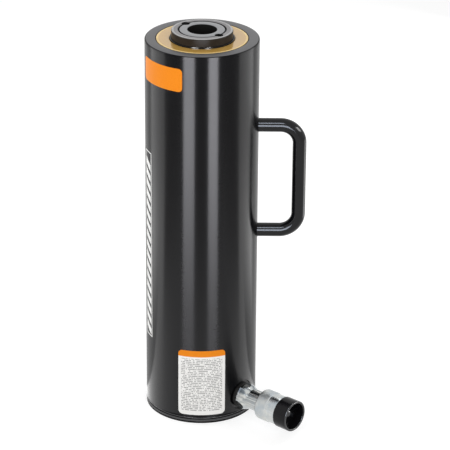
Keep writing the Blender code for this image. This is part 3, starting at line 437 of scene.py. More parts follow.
# painted highlight: a lighter grey laid on the cap's lip edges and its hub
capHighlight = speckled("paintedCapHighlight", [(0.020, 0.020, 0.021), (0.045, 0.045, 0.047)], 0.20, 700, 0.08,
                         bump=0.04, distance=0.00004, IOR=1.45)
stripFinish = speckled("stripInk", [fromScreen(240, 240, 238), fromScreen(250, 250, 248)], 0.4, 900,
                       bump=0.05)
print("materials made")

# Body: outer wall, rim, ring seat, bore and floor in one skin
bodyShape = {"columns": 240, "topEdge": 1.4 * mm, "footEdge": 0.9 * mm, "seatRadius": 52.3 * mm,
             "seatDepth": 30.3 * mm, "seatChamfer": 0.6 * mm, "bore": 45 * mm, "floor": 20 * mm,
             "tubeHole": 21.3 * mm, "portFace": 62 * mm, "portFaceRadius": 18.2 * mm,
             "portRadius": 9.3 * mm, "portFloor": 49.6 * mm, "portWindow": (8.3 * mm, 47 * mm),
             "portTurn": (-60, -22.5), "socketRadius": 8.3 * mm, "socketFloor": 52 * mm,
             "socketChamfer": 0.5 * mm, "socketWindow": 13 * mm, "socketTurn": (-12, 12)}


def makeBody(size):
    # A profile spun round the axis, with a window left out of the wall for each hole's own mesh.
    # A point of the wall at s across the hole lies sqrt(r^2 - s^2) from the axis along the hole.
    r, columns = bodyRadius, size["columns"]
    legs = [(h - size["socketWindow"], h + size["socketWindow"]) for h in sorted(handleHeights)]
    stops = [*size["portWindow"], *legs[0], *legs[1], bodyTop - 4 * mm]
    wallHeights = np.concatenate([stops[:1]] + [
        np.linspace(a, b, count)[1:] for a, b, count in zip(stops, stops[1:], (9, 10, 7, 7, 7, 6))])
    foot = roundedProfile([(size["tubeHole"], bodyFoot, 0), (r, bodyFoot, size["footEdge"]),
                           (r, wallHeights[0], 0)])
    wall = np.stack([np.full(len(wallHeights), r), wallHeights], -1)[1:]
    seat, chamfer = size["seatRadius"], size["seatChamfer"]
    seatFloor = bodyTop - size["seatDepth"]
    top = roundedProfile([(r, wallHeights[-1], 0), (r, bodyTop, size["topEdge"]),
                          (seat + chamfer, bodyTop, 0.15 * mm), (seat, bodyTop - chamfer, 0)])[1:]
    inside = np.array([(seat, seatFloor), (size["bore"], seatFloor), (size["bore"], size["floor"]),
                       (size["tubeHole"], size["floor"]), (size["tubeHole"], bodyFoot)])
    profile = np.concatenate([foot, wall, top, inside])
    grid = ontoBody(spun(profile, columns))
    skipped = np.zeros((len(profile) - 1, columns), bool)

    def curve(s, t):
        return np.sqrt(r ** 2 - s ** 2)

    def rowAt(height):
        offWall = np.abs(profile[:, 0] - r) >= 1e-7
        return int(np.argmin(np.abs(profile[:, 1] - height) + offWall * 9))

    def window(low, high, degrees):
        rows = (rowAt(low), rowAt(high))
        cols = tuple(round(d / 360 * columns) for d in degrees)
        skipped[rows[0]:rows[1], np.arange(*cols) % columns] = True
        return windowLoop(grid, rows, cols)

    # the rim is the second material, and the seam round the seat the third, a painted shade
    rim = (profile[:-1, 1] > bodyTop - 0.6 * mm) & (profile[:-1, 0] < r - 1.0 * mm)
    seam = rim & (profile[:-1, 0] < seat + chamfer + 0.02 * mm)
    face, faceRadius, port = size["portFace"], size["portFaceRadius"], size["portRadius"]
    spot = roundHole(window(*size["portWindow"], size["portTurn"]), couplerStart, couplerOut, couplerAcross,
                     curve, [(faceRadius + 0.2 * mm, 0), (faceRadius, lambda s, t: curve(s, t) - 0.25 * mm),
                             (faceRadius, face + 0.2 * mm), (faceRadius - 0.2 * mm, face),
                             (port + 0.6 * mm, face), (port, face - 0.6 * mm),
                             (port, size["portFloor"]), (0.0, size["portFloor"])], 6)
    # painted shade on the spot face's rim and side wall, in the third material
    sheets = [(grid, skipped, rim.astype(int) + seam),
              (spot, None, np.array([0] * 6 + [2] * 3 + [0] * (len(spot) - 10)))]
    hole, bevel = size["socketRadius"], size["socketChamfer"]
    for height, leg in zip(sorted(handleHeights), legs):
        socket = roundHole(window(*leg, size["socketTurn"]), axisPoint + [0, 0, height],
                           np.array([1.0, 0, 0]), np.array([0, 1.0, 0]), curve,
                           [(hole + bevel, 0), (hole, lambda s, t: curve(s, t) - bevel),
                            (hole, size["socketFloor"]), (0.0, size["socketFloor"])], 5)
        # painted shade on the socket's chamfer, wall and floor, in the third material
        sheets.append((socket, None, np.array([0] * 5 + [2] * (len(socket) - 6))))
    return makePiece("bodyTube", sheets, "cylinder", "cylinder_body",
                     [wallFinish, rimFinish, grooveShade])


makeBody(bodyShape)

# Base plate with its four countersunk holes
plateShape = {"columns": 240, "edge": 0.8 * mm, "topEdge": 0.4 * mm, "hole": 16.7 * mm,
              "shadeTop": 2.3 * mm, "groove": (4.9 * mm, 6.4 * mm), "grooveDeep": 0.4 * mm,
              "screwPitch": 54 * mm, "screwHead": 6.0 * mm, "screwShank": 3.3 * mm, "sink": 0.4 * mm,
              "coneDepth": 3.4 * mm, "window": 8 * mm}


def makePlate(size):
    # A profile spun round the axis, with a window left out of the underside for each screw hole.
    r, top = bodyRadius, nodeBox("base_plate")[1][2]
    hole, edge, pitch = size["hole"], size["edge"], size["screwPitch"]
    near, far = pitch - size["window"], pitch + size["window"]
    (grooveLow, grooveHigh), deep = size["groove"], size["grooveDeep"]
    bottom = np.array([(x, 0.0) for x in [hole + edge, *np.linspace(near, far, 6)]])
    outer = roundedProfile([
        (far, 0, 0), (r, 0, edge), (r, size["shadeTop"], 0), (r, grooveLow, 0),
        (r - deep, grooveLow + deep, 0), (r - deep, grooveHigh - deep, 0), (r, grooveHigh, 0),
        (r, top, size["topEdge"]), (hole, top, 0), (hole, edge, 0)])[1:]
    profile = np.concatenate([bottom, outer, bottom[:1]])
    grid = ontoBody(spun(profile, size["columns"]))
    skipped = np.zeros((len(profile) - 1, size["columns"]), bool)
    outside = profile[:-1, 0] > r - 2 * edge
    middles = (profile[:-1, 1] + profile[1:, 1]) / 2
    shade = (middles < size["shadeTop"]) | ((middles > grooveLow) & (middles < grooveHigh))
    sheets = [(grid, skipped, (shade & outside).astype(int))]
    holeFloor = 0.1 * mm - top
    for quarter in range(4):
        middle = quarter * size["columns"] // 4
        cols = (middle - 6, middle + 6)
        skipped[1:6, np.arange(*cols) % size["columns"]] = True
        turn = tau * quarter / 4
        side = np.array([math.cos(turn), math.sin(turn), 0.0])
        sheets.append(roundHole(windowLoop(grid, (1, 6), cols), axisPoint + pitch * side, -upward, side,
                                lambda s, t: 0 * s, [
                                    (size["screwHead"], 0), (size["screwHead"], -size["sink"]),
                                    (size["screwShank"], -size["coneDepth"]),
                                    (size["screwShank"], holeFloor), (0.0, holeFloor)]))
    return makePiece("basePlate", sheets, "cylinder", "base_plate",
                     [plateFinish, plateShade])


makePlate(plateShape)


# A six sided socket has the reach across / 2 / cos(angle from the nearest flat's middle)
def hexReach(across, u):
    lean = (u + tau / 12) % (tau / 6) - tau / 12
    return across / 2 / np.cos(lean)


def socketScrew(name, node, centre, down, headProfile, across, depth, finish, columns=48):
    # rows of (share of the hexagon's reach, depth under the face), then the head's and shank's profile
    u = anglesRound(columns)
    face = headProfile[0, 1]
    socket = fromRows([(hexReach(across, u) * share, face + sunk) for share, sunk in (
        (0, depth * 1.2), (0.55, depth), (1.0, depth * 0.95), (1.0, 0.12 * mm), (1.08, 0))], u)
    grid = np.concatenate([socket, spun(headProfile, columns)])
    grid[..., 2] *= down
    return makePiece(name, [grid + centre], "cylinder", node, [finish])


countersunk = roundedProfile(inMetres([(3.2, 0, 0), (5.7, 0, 0.25), (3.0, 3.0, 0), (3.0, 15.4, 0),
                                       (2.4, 16, 0), (0, 16, 0)]))
for number in range(1, 5):
    low, high = nodeBox(f"base_screw_{number}")
    socketScrew(f"baseScrew{number}", f"base_screw_{number}",
                np.array([*(low + high)[:2] / 2, low[2]]), 1, countersunk, 3.6 * mm, 2.0 * mm, boltFinish)

grubScrew = roundedProfile(inMetres([(1.7, 0, 0), (2.5, 0, 0.25), (2.5, 7.6, 0), (2.1, 8, 0), (0, 8, 0)]))
lockLow, lockHigh = nodeBox("ring_lock_screw")
lockCentre = np.array([*(lockLow + lockHigh)[:2] / 2, lockHigh[2]])
socketScrew("ringLockScrew", "ring_lock_screw", lockCentre, -1, grubScrew,
            2.4 * mm, 2.0 * mm, brightBolt)
print("body, plate and screws made")

# Stop ring, with the hole for its lock screw
ringShape = {"columns": 240, "outer": 52 * mm, "mouth": 37 * mm, "edge": 0.5 * mm, "mouthEdge": 0.9 * mm,
             "lip": 2.3 * mm, "wiperSeat": 40.5 * mm, "wiperLow": 449.7 * mm, "gland": 35.7 * mm,
             "bearingSeat": 38.3 * mm, "bearing": (433.7 * mm, 444.3 * mm), "low": 428 * mm,
             "lockHole": 2.8 * mm, "lockDepth": 8.9 * mm, "window": 4.5 * mm}


def makeRing(size):
    # A profile spun round the axis, with a window left out of the face for the lock screw's hole.
    top = nodeBox("stop_ring")[1][2]
    lock = lockCentre - axisPoint
    pitch, turn = math.hypot(lock[0], lock[1]), math.atan2(lock[1], lock[0])
    faceRadii = np.linspace(pitch + size["window"], pitch - size["window"], 5)
    gland, seat, (seatLow, seatHigh) = size["gland"], size["bearingSeat"], size["bearing"]
    mouth, wiper, lipFoot = size["mouth"], size["wiperSeat"], top - size["lip"]
    outside = roundedProfile([(gland, size["low"], 0), (size["outer"], size["low"], 0.5 * mm),
                              (size["outer"], top, size["edge"]), (faceRadii[0], top, 0)])
    face = np.stack([faceRadii, np.full(5, top)], -1)[1:]
    inside = roundedProfile([
        (faceRadii[-1], top, 0), (mouth, top, size["mouthEdge"]), (mouth, lipFoot, 0),
        (wiper, lipFoot, 0), (wiper, size["wiperLow"], 0), (gland, size["wiperLow"], 0),
        (gland, seatHigh, 0), (seat, seatHigh, 0), (seat, seatLow, 0), (gland, seatLow, 0),
        (gland, size["low"], 0)])[1:]
    profile = np.concatenate([outside, face, inside])
    grid = ontoBody(spun(profile, size["columns"]))
    skipped = np.zeros((len(profile) - 1, size["columns"]), bool)
    row, middle = len(outside) - 1, round(turn / tau * size["columns"])
    cols = (middle - 4, middle + 4)
    skipped[row:row + 4, np.arange(*cols) % size["columns"]] = True
    side = np.array([math.cos(turn), math.sin(turn), 0.0])
    radius, depth = size["lockHole"], size["lockDepth"]
    hole = roundHole(windowLoop(grid, (row, row + 4), cols), axisPoint + pitch * side + [0, 0, top],
                     upward, side, lambda s, t: 0 * s,
                     [(radius + 0.2 * mm, 0), (radius, -0.2 * mm), (radius, -depth), (0.0, -depth)])
    kinds = np.zeros(len(profile) - 1, int)
    kinds[row - 6:row - 3] = 1                           # the outer edge, below in the shade of the seam
    kinds[row - 3:row] = 2                               # and above a painted highlight
    return makePiece("stopRing", [(grid, skipped, kinds), hole], "cylinder", "stop_ring",
                     [goldFinish, grooveShade, goldHighlight])


makeRing(ringShape)


def turnedPiece(name, node, body, corners, finish, columns, onto=ontoBody, longest=30 * mm,
                steps=5, closed=True):
    # A profile in millimetres spun round the axis. A ring's runs round its section and back to its
    # start, and a solid one starts and ends on the axis.
    profile = roundedProfile(inMetres(corners), steps, closed)
    if closed:
        profile = np.concatenate([profile, profile[:1]])
    return makePiece(name, [onto(spun(divided(profile, longest), columns))], body, node, [finish])


# Wiper with its rounded lip, in millimetres, and the tube of the clear hole
wiperShape = {"inner": 35.25, "outer": 40.2, "foot": 450, "shoulder": 455.4, "neck": 36.85, "tip": 459.3}
inner, outer, foot, shoulder, neck, tip = wiperShape.values()
turnedPiece("rodWiper", "rod_wiper", "cylinder", [
    (inner, foot, 0.3), (outer, foot, 0.3), (outer, shoulder, 0.3), (neck, shoulder, 0.2),
    (neck, tip, 1.1), (inner, tip, 0.3)], wiperFinish, 240, steps=8)

tubeFoot, tubeTop = (corner[2] / mm for corner in nodeBox("center_tube"))
turnedPiece("centreTube", "center_tube", "cylinder", [
    (16.7, tubeFoot, 0.5), (26, tubeFoot, 0.4), (26, tubeFoot + 5.7, 0.3), (21, tubeFoot + 5.7, 0),
    (21, tubeTop, 0.8), (16.7, tubeTop, 0.8)], tubeFinish, 144, longest=40 * mm)

# Plunger and saddle. Two pin holes sit on the joint between them, half in each
notchShape = {"pitch": 26.7 * mm, "radius": 4.7 * mm, "depth": 4 * mm, "turn": 135}
plungerShape = {"radius": 35 * mm, "edge": 2.4 * mm, "saddleBore": 27 * mm, "mouthEdge": 0.8 * mm,
                "bore": 21.7 * mm, "spigot": 30 * mm, "low": 50.3 * mm, "shoulder": 64.6 * mm,
                "saddleFloor": 446 * mm, "faceWidth": 5.2 * mm}
saddleShape = {"outer": 26.7 * mm, "hole": 16.7 * mm, "holeEdge": 0.7 * mm, "groove": (1.1 * mm, 1.5 * mm),
               "edge": 0.35 * mm}


def notchAngles(size):
    # angles round the axis, close together across each notch and evenly spread between them,
    # and each one's angle d from the nearest notch
    reach = math.asin(size["radius"] / size["pitch"]) - 1e-4
    swing = reach * np.sin(np.linspace(-1, 1, 25) * tau / 4)
    swing = np.concatenate([[-reach - 2e-4], swing, [reach + 2e-4]])
    half = np.concatenate([swing, np.linspace(reach, math.pi - reach, 92)[1:-1]])
    u = np.concatenate([half, half + math.pi])
    d = (u + math.pi / 2) % math.pi - math.pi / 2
    return u + math.radians(size["turn"]), d, np.abs(d) <= reach


def notchCut(d, size, side):
    # a ray at angle d meets the notch's circle at pitch cos d - or + sqrt(radius^2 - pitch^2 sin^2 d)
    half = np.sqrt(np.maximum(size["radius"] ** 2 - (size["pitch"] * np.sin(d)) ** 2, 0))
    return size["pitch"] * np.cos(d) + side * half


def makePlunger(size):
    # the bore's plan radius is the larger of its own and the notch's far side, above the notch floor
    u, d, inNotch = notchAngles(notchShape)
    top = nodeBox("plunger")[1][2]
    floor = top - notchShape["depth"]
    outside = divided(roundedProfile([
        (size["bore"], size["saddleFloor"], 0), (size["bore"], size["low"], 0.4 * mm),
        (size["spigot"], size["low"], 0.6 * mm), (size["spigot"], size["shoulder"], 0),
        (size["radius"], size["shoulder"], 0.5 * mm), (size["radius"], top, size["edge"]),
        (size["saddleBore"] + size["faceWidth"], top, 0)]), 20 * mm)
    bore, mouth = size["saddleBore"], size["mouthEdge"]
    plan = np.where(inNotch, np.maximum(notchCut(d, notchShape, 1), bore), bore)
    drop = np.where(inNotch, 0.3 * mm, mouth)
    lean = np.linspace(0, tau / 4, 5)
    rows = [*outside]
    rows += [(plan + drop - drop * math.sin(a), top - drop + drop * math.cos(a)) for a in lean]
    rows += [(plan, floor), (bore, floor), (bore, size["saddleFloor"]), rows[0]]
    kinds = np.zeros(len(rows) - 1, int)
    kinds[len(outside) - 1] = 1                          # the face
    kinds[len(outside) - 4:len(outside) - 1] = 3         # the upper half of its edge, a painted highlight
    # painted shade on the mouth, the notches and the bore
    kinds[len(outside):] = 2
    return makePiece("plungerSleeve", [(ontoBody(fromRows(rows, u)), None, kinds)], "plunger_unit",
                     "plunger", [plungerFinish, plungerTopFinish, grooveShade, plungerEdgeHighlight])


def makeSaddle(size):
    # the outer plan radius is the notch's near side inside a notch, above the notch floor
    u, d, inNotch = notchAngles(notchShape)
    low, high = nodeBox("saddle")
    top, outer = high[2], size["outer"]
    floor = top - notchShape["depth"]
    grooveWide, grooveDeep = size["groove"]
    plan = np.where(inNotch, np.minimum(notchCut(d, notchShape, -1), outer), outer)
    shelf = np.where(inNotch, plan, outer - grooveWide)
    edge, hole, holeEdge = size["edge"], size["hole"], size["holeEdge"]
    lean = np.linspace(0, tau / 4, 6)
    rows = [(hole, low[2]), (outer, low[2]), (outer, floor), (plan, floor), (plan, top - grooveDeep),
            (shelf, top - grooveDeep * 0.9)]
    rows += [(shelf - edge + edge * math.cos(a), top - edge + edge * math.sin(a)) for a in lean]
    rows += [(hole + holeEdge - holeEdge * math.sin(a), top - holeEdge + holeEdge * math.cos(a))
             for a in lean]
    rows += [rows[0]]
    # painted shade: the underside and the hole in the hole shade, the outside, notch floors and groove in
    # the groove shade
    kinds = np.array([2, 1, 1, 1, 1, 1] + [0] * (len(rows) - 11) + [2] * 4)
    return makePiece("saddleRing", [(ontoBody(fromRows(rows, u)), None, kinds)], "plunger_unit",
                     "saddle", [saddleFinish, grooveShade, holeShade])


makePlunger(plungerShape)
makeSaddle(saddleShape)
print("ring, wiper, plunger and saddle made")

# Handle: a round bar bent into a D
handleShape = {"bar": 8 * mm, "reach": 112 * mm, "root": 52.3 * mm, "bend": 22 * mm, "columns": 56,
               "bendSteps": 26}


def makeHandle(size):
    # straight leg, quarter circle, grip, quarter circle, straight leg, all in the plane across Y
    top, bottom = handleHeights
    grip, bend = size["reach"], size["bend"]
    a = np.linspace(0, tau / 4, size["bendSteps"])
    x = np.concatenate([np.linspace(size["root"], grip - bend, 6)[:-1], grip - bend + bend * np.sin(a),
                        np.full(5, grip), grip - bend + bend * np.cos(a),
                        np.linspace(grip - bend, size["root"], 6)[1:]])
    z = np.concatenate([np.full(5, top), top - bend + bend * np.cos(a),
                        np.linspace(top - bend, bottom + bend, 7)[1:-1], bottom + bend - bend * np.sin(a),
                        np.full(5, bottom)])
    path = np.stack([x, 0 * x, z], -1) + axisPoint
    tube = capped(carried(path, np.array([0, 1.0, 0]), size["bar"] * onCircle(anglesRound(size["columns"]))))
    return makePiece("handleBar", [tube], "cylinder", "handle", [handleFinish])


makeHandle(handleShape)

# Zinc plated coupler. Colour drifts between a cool and a faintly yellow grey, with turning lines,
# a painted reflection of dark streaks along it where it faces up, and a smoother band from shineFrom on
zincLook = {"cool": (0.43, 0.475, 0.505), "warm": (0.62, 0.625, 0.60), "roughness": 0.17, "swing": 0.14,
            "lineScale": 900, "reflectionShare": 0.9, "reflectionTone": (0.11, 0.135, 0.16), "shine": 0.0,
            "shineFrom": 0.0}
sleeveLook = {**zincLook, "roughness": 0.42, "lineScale": 700, "reflectionShare": 0.0, "shine": 0.22,
              "shineFrom": 114 * mm}


def zincPlate(name, look):
    finish = Finish(name)
    place = finish.centred(couplerStart, toCoupler)
    lines = finish.noise(place * (look["lineScale"], 4, 4), 1.0, 3.0)
    cloud = finish.noise(place, 120.0, 4.0, 0.6)
    patch = finish.noise(place, 35.0, 2.0, 0.5)
    # painted reflection: dark streaks, stronger on the upper side, stand in for the dark surroundings it
    # mirrors
    above = place.part("Z").ramp(-6 * mm, 10 * mm) * 0.85 + 0.15
    paintedReflection = finish.noise(place * (9, 300, 300), 1.0, 2.0).ramp(0.42, 0.60) * above * look["reflectionShare"]
    plated = (cloud * 0.5 + patch * 0.5).ramp(0.38, 0.62).blend(look["cool"], look["warm"])
    rough = (lines - 0.5) * look["swing"] + (cloud - 0.5) * look["swing"] + look["roughness"]
    band = place.part("X").ramp(look["shineFrom"], look["shineFrom"] + 0.4 * mm)
    finish.set(Base_Color=paintedReflection.blend(plated, look["reflectionTone"]), Metallic=1.0,
               Roughness=(rough - band * look["shine"]).held())
    finish.bump(lines * 0.7 + cloud * 0.3, 0.10, 0.00006)
    return finish.material


zincFinish = zincPlate("zincPlate", zincLook)
sleeveFinish = zincPlate("zincSleeve", sleeveLook)

couplerShape = {"columns": 120, "acrossFlats": 28 * mm, "corner": 15.92 * mm, "bore": 4 * mm,
                "shank": 8.7 * mm, "shankStart": 49.9 * mm, "hexBack": 67.6 * mm, "coneStart": 72.2 * mm,
                "neckStart": 81.6 * mm, "neck": 12.3 * mm, "groove": (101.7 * mm, 104.3 * mm),
                "grooveRadius": 11 * mm, "nose": 10.5 * mm, "noseFront": 123.0 * mm, "mouth": 4.6 * mm,
                "chamber": 7 * mm, "chamberBack": 104 * mm}


def makeCoupler(size):
    # radius = the smaller of the turned profile's and the hexagon's at that angle
    hexBack, cone, neckStart = size["hexBack"], size["coneStart"], size["neckStart"]
    corner, neck, shank = size["corner"], size["neck"], size["shank"]
    nose, front = size["nose"], size["noseFront"]
    (grooveBack, grooveFront), groove = size["groove"], size["grooveRadius"]
    bore, start, mouth = size["bore"], size["shankStart"], size["mouth"]
    chamber, chamberBack = size["chamber"], size["chamberBack"]
    back = roundedProfile([
        (bore, start, 0), (shank, start, 0.8 * mm), (shank, hexBack, 0), (corner - 2 * mm, hexBack, 0),
        (corner, hexBack + 1.2 * mm, 0), (corner, cone, 0)])
    s = np.linspace(cone, neckStart, 24)[1:]
    slope = np.stack([corner + (neck - corner) * (s - cone) / (neckStart - cone), s], -1)
    rest = roundedProfile([
        (neck, neckStart, 0), (neck, grooveBack, 0), (groove, grooveBack, 0), (groove, grooveFront, 0),
        (neck, grooveFront, 0.2 * mm), (neck, 106.3 * mm, 0.4 * mm), (nose, 108.3 * mm, 0.6 * mm),
        (nose, front, 0.8 * mm), (mouth, front, 0.4 * mm), (mouth, front - 2.5 * mm, 0),
        (chamber, front - 4 * mm, 0), (chamber, chamberBack, 0), (bore, chamberBack, 0),
        (bore, start, 0)])[1:]
    profile = np.concatenate([divided(back, 0.8 * mm), slope, rest])
    u = anglesRound(size["columns"])
    radius = np.repeat(profile[:, :1], len(u), 1)
    inHex = (profile[:, 1] > hexBack - 1e-6) & (profile[:, 1] < neckStart) & (profile[:, 0] > neck - 1e-6)
    radius[inHex] = np.minimum(radius[inHex], hexReach(size["acrossFlats"], u)[None])
    grid = ontoCoupler(fromRows(zip(radius, profile[:, 1]), u))
    return makePiece("couplerHalf", [grid], "cylinder", "coupler_body", [zincFinish], sharp=20)


makeCoupler(couplerShape)

# Turned rings on the coupler, in millimetres out along it, and its valve
turnedPiece("portSeal", "port_seal", "cylinder", [
    (9, 62.3, 0.3), (15, 62.3, 0.9), (15, 64.5, 0.5), (14.2, 64.9, 0.3), (15, 65.3, 0.5),
    (15, 67.3, 1.2), (9, 67.3, 0.3)], rubberFinish, 96, ontoCoupler)

collarShape = {"bore": 12.6, "back": 98.5, "grip": 18.2, "gripEnd": 114, "band": 17.5, "front": 127.2,
               "cavity": 15.7, "web": 101.55, "backEdge": 2.1}
bore, back, grip, gripEnd, band, front, cavity, web, backEdge = collarShape.values()
turnedPiece("couplerSleeve", "coupler_collar", "collar", [
    (bore, back, 0.4), (grip, back, backEdge), (grip, gripEnd - 0.4, 0.5), (band, gripEnd + 0.5, 0.3),
    (band, front, 0.5), (cavity, front, 0.3), (cavity, web, 0), (bore, web, 0.2)],
    sleeveFinish, 144, ontoCoupler, 6 * mm)

turnedPiece("collarRetainer", "collar_retainer", "cylinder", [
    (11.3, 102, 0.3), (15.4, 102, 0.3), (15.4, 104, 0.3), (11.3, 104, 0.3)], springFinish, 96, ontoCoupler)
turnedPiece("couplerValve", "coupler_poppet", "poppet", [
    (0, 112, 0), (3, 112, 0.4), (3, 114, 0), (6.7, 114, 0.4), (6.7, 118.5, 0.3), (4.3, 120, 0),
    (4.3, 123.2, 0.8), (0, 123.2, 0)], brightBolt, 72, ontoCoupler, closed=False)

# Dust cap: plug ring, rim and a recess whose floor carries a domed hub and crossed ribs
capShape = {"radius": 18.5 * mm, "plug": (13.8 * mm, 15.4 * mm), "plugBack": 123.7 * mm,
            "back": 127.5 * mm, "front": 146 * mm, "recess": 15.8 * mm, "floor": 130.5 * mm,
            "edge": 1.1 * mm, "lip": 0.9 * mm, "hub": 4.5 * mm, "hubHeight": 7.5 * mm,
            "hubDome": 1.6 * mm, "ribHalf": 1 * mm, "ribHeight": 4.5 * mm, "columns": 288}


def smooth(t):
    t = np.clip(t, 0, 1)
    return t * t * (3 - 2 * t)


def makeCap(size):
    # floor height = the larger of rib height * s(distance across the rib) and hub height * s(distance
    # past the hub), with s falling smoothly from 1 to 0 over the side of each
    u = anglesRound(size["columns"])
    (plugIn, plugOut), plugBack, back, front = size["plug"], size["plugBack"], size["back"], size["front"]
    radius, recess, hubRadius, edge = size["radius"], size["recess"], size["hub"], size["edge"]
    outside = divided(roundedProfile([
        (0, back, 0), (plugIn, back, 0), (plugIn, plugBack, 0.3 * mm), (plugOut, plugBack, 0.4 * mm),
        (plugOut, back, 0), (radius, back, edge), (radius, front, edge), (recess, front, size["lip"]),
        (recess, size["floor"] + 3 * mm, 0)], 6), 4 * mm)
    r = np.concatenate([[recess], np.linspace(recess - 0.3 * mm, hubRadius + 1.2 * mm, 18),
                        np.linspace(hubRadius + 1.0 * mm, hubRadius - 0.8 * mm, 12),
                        np.linspace(hubRadius - 1.2 * mm, 0, 5)])[:, None]
    x, y = r * np.cos(u), r * np.sin(u)
    across = np.minimum(np.abs(x), np.abs(y))
    rib = size["ribHeight"] * smooth((size["ribHalf"] + 0.35 * mm - across) / (0.5 * mm))
    dome = size["hubDome"] * (r / hubRadius) ** 2 * (r < hubRadius)
    hub = size["hubHeight"] * smooth((hubRadius + 0.3 * mm - r) / (0.9 * mm)) - dome
    h = size["floor"] + np.maximum(rib, hub + 0 * u)
    grid = np.concatenate([spun(outside, size["columns"]), np.stack([x, y, h], -1)])
    rim, depth = outside[:-1, 0], outside[:-1, 1]
    kinds = np.zeros(len(grid) - 1, int)
    kinds[-12:] = 1                                      # the hub's top and side, a painted highlight
    # painted highlight on the front lip's edges
    kinds[:len(rim)][(depth > front - 0.8 * edge) & (rim < radius)] = 1
    # painted shade on the back edge beside the sleeve
    kinds[:len(rim)][(depth < back + 0.8 * edge) & (rim > plugOut)] = 2
    return makePiece("dustCap", [(ontoCoupler(grid), None, kinds)], "cap", "dust_cap",
                     [capFinish, capHighlight, grooveShade])


makeCap(capShape)

# The two springs
coilShapes = {
    "returnCoil": {"node": "return_spring", "low": 64.6 * mm, "high": 427.7 * mm, "mean": 40 * mm,
                   "wire": 3 * mm, "turns": 13, "joint": "plunger_lift", "travel": 250 * mm,
                   "fixed": "high"},
    "poppetCoil": {"node": "poppet_spring", "low": 104.3 * mm, "high": 113.7 * mm, "mean": 5.5 * mm,
                   "wire": 0.45 * mm, "turns": 5, "joint": "poppet_press", "travel": 3 * mm,
                   "fixed": "low"}}


def makeCoil(name, size, onto, steps=40, sides=14):
    # one turn at each end lies closed; pitch = closed pitch + live pitch * s(turns from the nearer end)
    low, high, wire, turns = size["low"], size["high"], size["wire"], size["turns"]
    middle = (np.arange(turns * steps) + 0.5) / steps
    live = smooth((np.minimum(middle, turns - middle) - 0.9) / 0.4)
    closed = 2.05 * wire                                 # closed turns stay just apart
    rise = high - low - 2 * wire
    pitch = closed + live * (rise - closed * turns) / (live.sum() / steps)
    height = low + wire + np.concatenate([[0], np.cumsum(pitch / steps)])
    angle = tau * np.arange(turns * steps + 1) / steps
    outward = np.stack([np.cos(angle), np.sin(angle), 0 * angle], -1)
    path = size["mean"] * outward + height[:, None] * upward
    tube = capped(carried(path, outward, wire * onCircle(anglesRound(sides))))
    piece = makePiece(name, [onto(tube)], "cylinder", size["node"], [springFinish])
    foot, head = onto(np.array([[0, 0, low], [0, 0, high]]))
    tuple(head - foot)
    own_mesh(piece)


makeCoil("returnCoil", coilShapes["returnCoil"], ontoBody)
makeCoil("poppetCoil", coilShapes["poppetCoil"], ontoCoupler)
print("handle, coupler and cap made")

# Stickers and the side strip, all blank: thin skins wrapped on the wall. Azimuths in degrees
stickerShape = {
    "lower": {"azimuth": (-113.4, -63.9), "heights": (11.0 * mm, 95.2 * mm), "corner": 5.0 * mm},
    "upper": {"azimuth": (-166.0, -109.2), "heights": (415.5 * mm, 442.7 * mm), "corner": 4.6 * mm},
    "lift": 0.12 * mm, "headerFrom": 87.2 * mm, "rowPitch": 2.25 * mm}
skinBack = 0.01 * mm                                 # how far a skin's back stays off the wall


def roundedOutline(width, height, corner, count):
    # a rectangle's outline with quarter circle corners, at equal steps of length
    quarter = corner * onCircle(np.linspace(0, tau / 4, 12))
    w, h = width / 2 - corner, height / 2 - corner
    parts = [quarter + [w, h], np.stack([-quarter[:, 1], quarter[:, 0]], -1) + [-w, h],
             -quarter + [-w, -h], np.stack([quarter[:, 1], -quarter[:, 0]], -1) + [w, -h]]
    loop = np.concatenate(parts + [parts[0][:1]])
    run = np.concatenate([[0], np.cumsum(np.linalg.norm(np.diff(loop, axis=0), axis=1))])
    at = np.linspace(0, run[-1], count, endpoint=False)
    return np.stack([np.interp(at, run, loop[:, 0]), np.interp(at, run, loop[:, 1])], -1)


def wrapped(flat, lift):
    # (arc length, height) on the wall at a radius: x = R cos(s / R), y = R sin(s / R)
    turn = flat[..., 0] / bodyRadius
    radius = bodyRadius + lift
    return ontoBody(np.stack([radius * np.cos(turn), radius * np.sin(turn), flat[..., 1]], -1))


def makeSticker(name, shape, finish, rings=26):
    # each ring of the skin is the outline shrunk towards its middle, front and then back
    first, last = np.radians(shape["azimuth"])
    low, high = shape["heights"]
    middle = np.array([(first + last) / 2 * bodyRadius, (low + high) / 2])
    outline = roundedOutline((last - first) * bodyRadius, high - low, shape["corner"], 260)
    share = np.linspace(0, 1, rings)[:, None, None]
    front = wrapped(middle + outline * share, stickerShape["lift"])
    back = wrapped(middle + outline * share[::-1], skinBack)
    return makePiece(name, [np.concatenate([front, back])], "cylinder", None, [finish])


# Paper. Below the header of the ruled one, rows of dashes break where the noise of a word is low
paperLook = {"white": ((245, 244, 241), (252, 251, 249)), "orange": ((238, 134, 24), (246, 146, 34)),
             "ink": (60, 60, 62), "inkShare": 0.62, "stripe": 0.45, "word": 0.46, "wordScale": 34.0,
             "rowShift": 3.7, "side": 0.055, "foot": 4.5 * mm, "head": 2.5 * mm}


